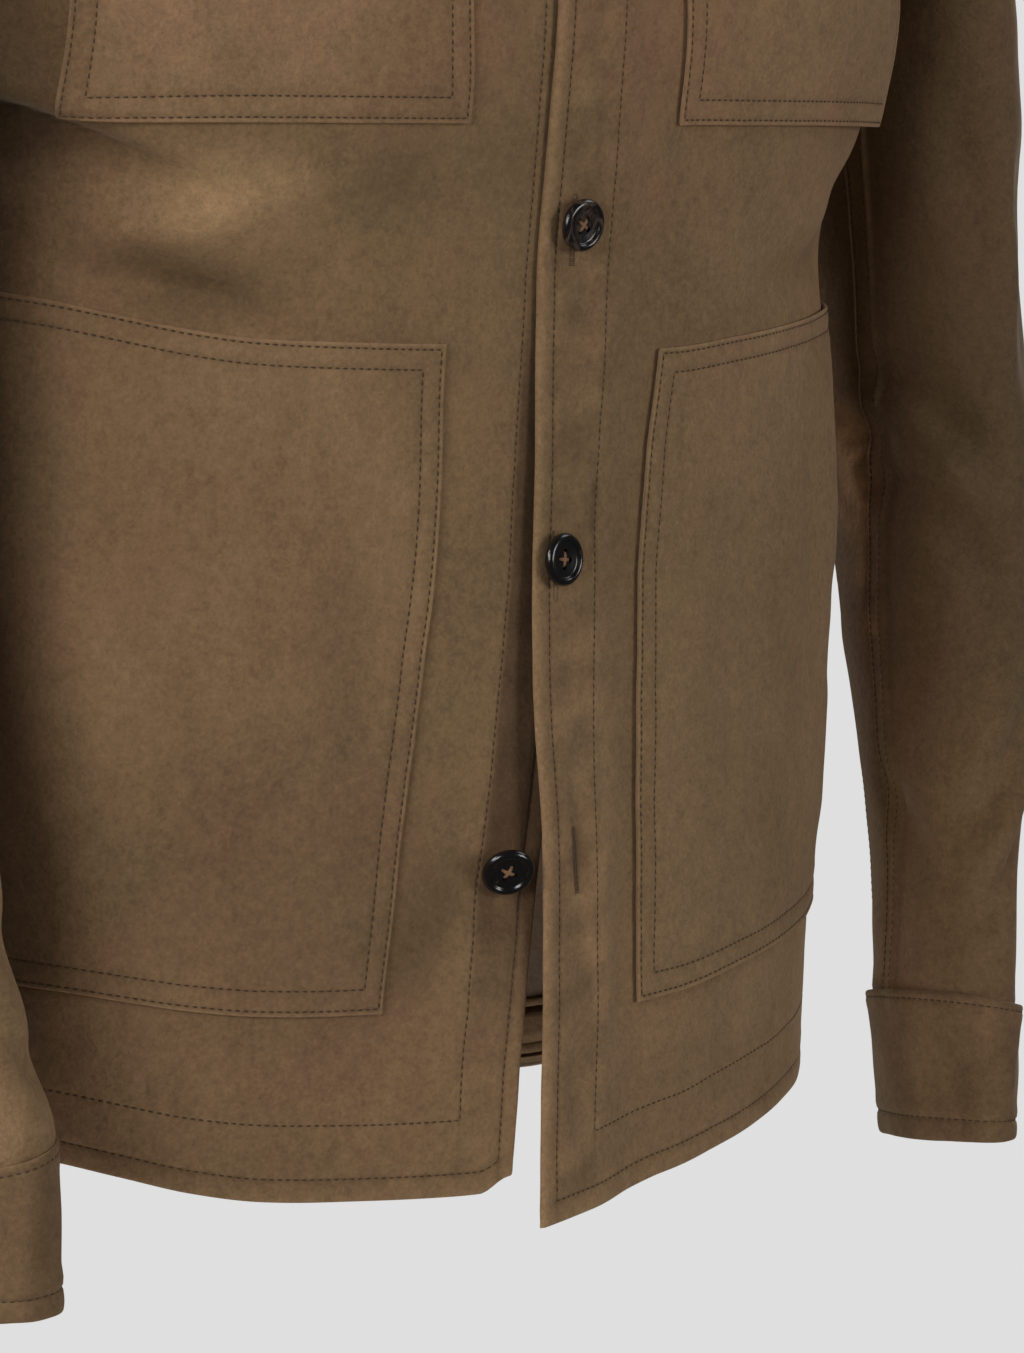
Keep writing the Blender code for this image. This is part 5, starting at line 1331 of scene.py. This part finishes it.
def button_object(name, mat):
    pts, faces = lathe([(r * MM, h * MM) for r, h in BUTTON_PROFILE], 60)
    mesh = bpy.data.meshes.new(name)
    mesh.from_pydata(pts, [], faces)
    mesh.materials.append(mat)
    blank = bpy.data.objects.new(name, mesh)
    bpy.context.scene.collection.objects.link(blank)
    reach = 5.6 / 2 * cos(pi / 4) * MM
    dp, df = [], []
    for x in (-reach, reach):
        for y in (-reach, reach):
            base = len(dp)
            for h in (-0.004, 0.010):
                for k in range(20):
                    dp.append((x + 1.0 * MM * cos(2 * pi * k / 20), y + 1.0 * MM * sin(2 * pi * k / 20), h))
            for k in range(20):
                m = (k + 1) % 20
                df.append((base + k, base + m, base + 20 + m, base + 20 + k))
            df.append(tuple(base + k for k in range(20))[::-1])
            df.append(tuple(base + 20 + k for k in range(20)))
    dm = bpy.data.meshes.new("drill")
    dm.from_pydata(dp, [], df)
    drill = bpy.data.objects.new("drill", dm)
    bpy.context.scene.collection.objects.link(drill)
    cut = blank.modifiers.new("holes", "BOOLEAN")
    cut.object, cut.operation = drill, "DIFFERENCE"
    bpy.context.view_layer.update()
    done = bpy.data.meshes.new_from_object(blank.evaluated_get(bpy.context.evaluated_depsgraph_get()))
    bpy.data.objects.remove(drill)
    blank.modifiers.clear()
    blank.data = done
    done.materials.clear()
    done.materials.append(mat)
    done.shade_smooth()
    done.set_sharp_from_angle(angle=radians(40))
    return blank


def turned(normal, deg):
    a = radians(deg)
    x, y, z = normal
    return np.array((x * cos(a) - y * sin(a), x * sin(a) + y * cos(a), z))


def button(name, at, facing, tip_deg, spin, mat, shank=0.0):
    z = Vector(facing).normalized()
    x = Vector((0, 0, 1)).cross(z).normalized()
    y = z.cross(x)
    turn = Matrix.Rotation(radians(tip_deg), 3, x) @ Matrix((x, y, z)).transposed()
    place = Matrix.Translation(Vector(at)) @ turn.to_4x4()
    obj = button_object("coat_" + name, mat)
    spun = place @ Matrix.Rotation(radians(spin), 4, "Z")
    obj.data.transform(spun)
    keep(obj, [name])
    # the thread: crossing strands on top and a wound shank below
    st = Stitches()
    reach = 5.6 / 2 * cos(pi / 4) * MM

    def world(v):
        return np.array(spun @ Vector(v))
    up = np.array(spun.to_3x3() @ Vector((0, 0, 1)))
    rng = np.random.default_rng(len(name) + int(abs(at[2]) * 1000))
    for a, b in (((-reach, -reach), (reach, reach)), ((-reach, reach), (reach, -reach))):
        for k in (-0.42, -0.14, 0.14, 0.42):
            side = np.array((-(b[1] - a[1]), b[0] - a[0])) / (2 * reach * 1.414) * k * MM
            jig = rng.uniform(-0.08, 0.08, 2) * MM
            p = world((a[0] + side[0] + jig[0], a[1] + side[1], 2.55 * MM))
            q = world((b[0] + side[0], b[1] + side[1] + jig[1], 2.55 * MM))
            st.capsule(p, q, up, 0.34 * MM, 0.75 * MM, 0)
    for k in range(5):
        ang = 2 * pi * k / 5
        p = world((1.3 * MM * cos(ang), 1.3 * MM * sin(ang), 0.3 * MM))
        q = world((1.1 * MM * cos(ang + 0.8), 1.1 * MM * sin(ang + 0.8), -shank))
        st.capsule(p, q, unit(np.array(spun.to_3x3() @ Vector((cos(ang), sin(ang), 0)))), 0.8 * MM, 0.8 * MM, 0)
    keep(st.build("coat_" + name + "_thread", [TIE]), [])
    return obj


def buttonhole(st, side, p_from_edge, w_mid, half, slant=0.0, wide=1.0):
    """A worked buttonhole, upright: two rows of close cross stitches round a slit, with a bar at each end."""
    n_st = int(2 * half / (0.62 * MM))
    for k in range(n_st):
        t = -1 + 2 * (k + 0.5) / n_st
        w = w_mid + t * half
        p = p_from_edge + slant * t
        for sgn in (-1, 1):
            near, far = 0.30 * MM, 1.45 * MM * wide
            if abs(t) > 0.93:
                near = -0.2 * MM
            s0 = float(edge_col("left", w)) + p + sgn * near
            s1 = float(edge_col("left", w)) + p + sgn * far
            a, b = on_front(side, np.array([s0, s1]), np.array([w, w]), 0.12 * MM)
            st.capsule(a, b, form_normal(s0, w), 0.50 * MM, 0.42 * MM, 0)
    # the slit: a dark line of painted shade in the cut
    ws = np.linspace(w_mid - half * 0.93, w_mid + half * 0.93, 12)
    s = edge_col("left", ws) + p_from_edge + slant * np.linspace(-0.93, 0.93, 12)
    line = on_front(side, s, ws, 0.02 * MM)
    for a, b in zip(line, line[1:]):
        st.capsule(a, b, form_normal(float(s[0]), float(ws[0])), 0.55 * MM, 0.25 * MM, 1, 6)


# ------------------------------------------------------------------ make the coat
ridge_stitches = []
left_obj, left_pts, left_n, st_fl, _ = front_panel("L")
right_obj, right_pts, right_n, st_fr, _ = front_panel("R")
back_obj, back_pts, back_n, st_b = back_panel()
sheets = {}
for tag, st in (("front_left", st_fl), ("front_right", st_fr), ("back", st_b)):
    keep(st.build("coat_stitching_" + tag, [THREAD_WITH_SHADE, HOLE_SHADE]), [])
for name in POCKET_SPEC:
    obj, pts, n, st = pocket_panel(name)
    sheets[name] = pts
    keep(st.build("coat_stitching_" + name, [THREAD_WITH_SHADE, HOLE_SHADE]), [])
arms = {}
for side in ("left", "right"):
    obj, pts, n, st = sleeve(side)
    arms[side] = pts
    keep(st.build("coat_stitching_sleeve_" + side, [THREAD_WITH_SHADE, HOLE_SHADE]), [])
    obj, pts, n, st = cuff(side)
    arms["cuff_" + side] = pts
    keep(st.build("coat_stitching_cuff_" + side, [THREAD_WITH_SHADE, HOLE_SHADE]), [])
neck, leaf = collar(right_pts[-1], back_pts[-1], left_pts[-1])

HORNS = {"button_1": (2.0, 0.56), "button_2": (5.0, 0.58), "button_3": (0.0, 0.50), "button_4": (9.0, 0.60),
         "button_5": (4.0, 0.62), "button_collar": (7.0, 0.58)}
SPINS = {"button_1": 10, "button_2": -25, "button_3": 12, "button_4": 38, "button_5": 20, "button_collar": 5}
holes = Stitches()
for name, (w, p, off, turn, tipped) in BUTTONS.items():
    s = float(edge_col("left", w)) + p * MM
    normal = form_normal(s, w)
    at = form(s, w) + normal * (float(fold_at(s, w)) + LAP + float(tip("L", s, w)) + off * MM)
    seed, clear = HORNS[name]
    button(name, at, turned(normal, turn), tipped, SPINS[name], horn("horn_" + name, (seed, seed * 0.7, 0.3), clear), off * MM + 1.0 * MM)
    buttonhole(holes, "L", p * MM - 0.5 * MM, w - 2.5 * MM, 13.0 * MM, -0.4 * MM)
keep(holes.build("coat_buttonholes", [BUTTONHOLE_THREAD, SLIT_SHADE]), [])
holes = Stitches()
buttonhole(holes, "L", 17.5 * MM, -0.602, 12.5 * MM, -1.0 * MM, 0.75)
keep(holes.build("coat_buttonhole_open", [SOFT_THREAD, SOFT_SLIT_SHADE]), [])
name, w, p, off, turn, tipped = BUTTON_OPEN
s = float(edge_col("right", w)) - p * MM
normal = form_normal(s, w)
reach = BUTTON_D / 2 * (sin(radians(abs(turn))) * 0.6 + sin(radians(abs(tipped))) * 0.5)
at = form(s, w) + normal * (float(fold_at(s, w)) + float(tip("R", s, w)) + off * MM + reach)
button(name, at, turned(normal, turn), tipped, SPINS[name], horn("horn_" + name, (4.0, 2.0, 0.3), 0.62), off * MM + reach + 1.0 * MM)
at = np.array(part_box("button_collar")[0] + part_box("button_collar")[1]) / 2
button("button_collar", at + np.array((0, BUTTON_T * 0.5, 0)), (0, -1, 0.15), 0.0, 5, horn("horn_button_collar", (7, 3, 1), 0.58), 3.0 * MM)

# ------------------------------------------------------------------ stage, light, camera
scene = bpy.context.scene
scene.view_settings.view_transform = "Standard"
scene.view_settings.look = "None"
GREY = 0.738


def stage_material(name, share):
    mat = bpy.data.materials.new(name)
    mat.use_nodes = True
    t = mat.node_tree
    t.nodes.clear()
    out = t.nodes.new("ShaderNodeOutputMaterial")
    glow = t.nodes.new("ShaderNodeEmission")
    glow.inputs["Color"].default_value = (GREY, GREY, GREY, 1)
    soft = t.nodes.new("ShaderNodeBsdfDiffuse")
    soft.inputs["Color"].default_value = (0.62, 0.62, 0.62, 1)
    both = t.nodes.new("ShaderNodeMixShader")
    both.inputs[0].default_value = share
    t.links.new(glow.outputs[0], both.inputs[1])
    t.links.new(soft.outputs[0], both.inputs[2])
    t.links.new(both.outputs[0], out.inputs["Surface"])
    return mat


floor_mesh = bpy.data.meshes.new("floor")
floor_mesh.from_pydata([(60 * cos(2 * pi * k / 96), 60 * sin(2 * pi * k / 96), -1.55) for k in range(96)], [], [tuple(range(96))])
floor_mesh.materials.append(stage_material("floor", 0.0))
floor = bpy.data.objects.new("floor", floor_mesh)
scene.collection.objects.link(floor)
# the floor is a plain pale ground; it doesn't light the coat from below
floor.visible_diffuse = floor.visible_glossy = floor.visible_transmission = False

world = bpy.data.worlds.new("studio")
scene.world = world
world.use_nodes = True
wt = world.node_tree
wt.nodes.clear()
w_out = wt.nodes.new("ShaderNodeOutputWorld")
seen = wt.nodes.new("ShaderNodeBackground")
seen.inputs["Color"].default_value = (GREY, GREY, GREY, 1)
lit = wt.nodes.new("ShaderNodeBackground")
lit.inputs["Color"].default_value = (1.0, 0.985, 0.965, 1)
lit.inputs["Strength"].default_value = 0.045
path = wt.nodes.new("ShaderNodeLightPath")
w_mix = wt.nodes.new("ShaderNodeMixShader")
wt.links.new(path.outputs["Is Camera Ray"], w_mix.inputs[0])
wt.links.new(lit.outputs[0], w_mix.inputs[1])
wt.links.new(seen.outputs[0], w_mix.inputs[2])
wt.links.new(w_mix.outputs[0], w_out.inputs["Surface"])


def area_light(name, azimuth, elevation, distance, size, power, aim=(0, 0, -0.40), colour=(1, 1, 1)):
    data = bpy.data.lights.new(name, "AREA")
    data.shape, data.size, data.size_y, data.energy, data.color = "RECTANGLE", size[0], size[1], power, colour
    obj = bpy.data.objects.new(name, data)
    a, e = radians(azimuth), radians(elevation)
    at = Vector(aim) + Vector((sin(a) * cos(e), -cos(a) * cos(e), sin(e))) * distance
    obj.location = at
    obj.rotation_euler = (at - Vector(aim)).to_track_quat("Z", "Y").to_euler()
    obj.visible_camera = False
    scene.collection.objects.link(obj)
    return obj


area_light("key", -64, 10, 3.0, (1.2, 1.2), 27)
area_light("fill", 22, 7, 3.0, (1.2, 1.2), 24)
area_light("left", -98, 24, 3.0, (1.2, 1.2), 50)
area_light("right", 64, 40, 3.0, (1.2, 1.2), 8)
area_light("rim", 112, 14, 3.0, (0.9, 1.6), 26)
area_light("back", 178, 22, 3.2, (1.6, 1.6), 34)
area_light("below", -39, -72, 1.05, (0.9, 0.9), 3.0).visible_glossy = False
area_light("back_right", -140, 20, 3.2, (1.4, 1.4), 26)

cam_data = bpy.data.cameras.new("camera")
cam_data.lens = 5222 / 1353 * 36
cam_data.sensor_width = 36
cam_data.sensor_fit = "AUTO"
cam_data.clip_start, cam_data.clip_end = 0.05, 200
cam = bpy.data.objects.new("camera", cam_data)
azimuth, yaw, pitch = radians(-39), np.arctan2(512 - 314, 5222), np.arctan2(676.5 - 120, 5222)
cam.location = (2.0 * sin(azimuth), -2.0 * cos(azimuth), -0.335)
fwd0 = Vector((-sin(azimuth), cos(azimuth), 0))
right0 = Vector((cos(azimuth), sin(azimuth), 0))
fh = cos(yaw) * fwd0 + sin(yaw) * right0
right = cos(yaw) * right0 - sin(yaw) * fwd0
fwd = cos(pitch) * fh - sin(pitch) * Vector((0, 0, 1))
up = right.cross(fwd)
cam.rotation_euler = Matrix((right, up, -fwd)).transposed().to_euler()
scene.collection.objects.link(cam)
scene.camera = cam
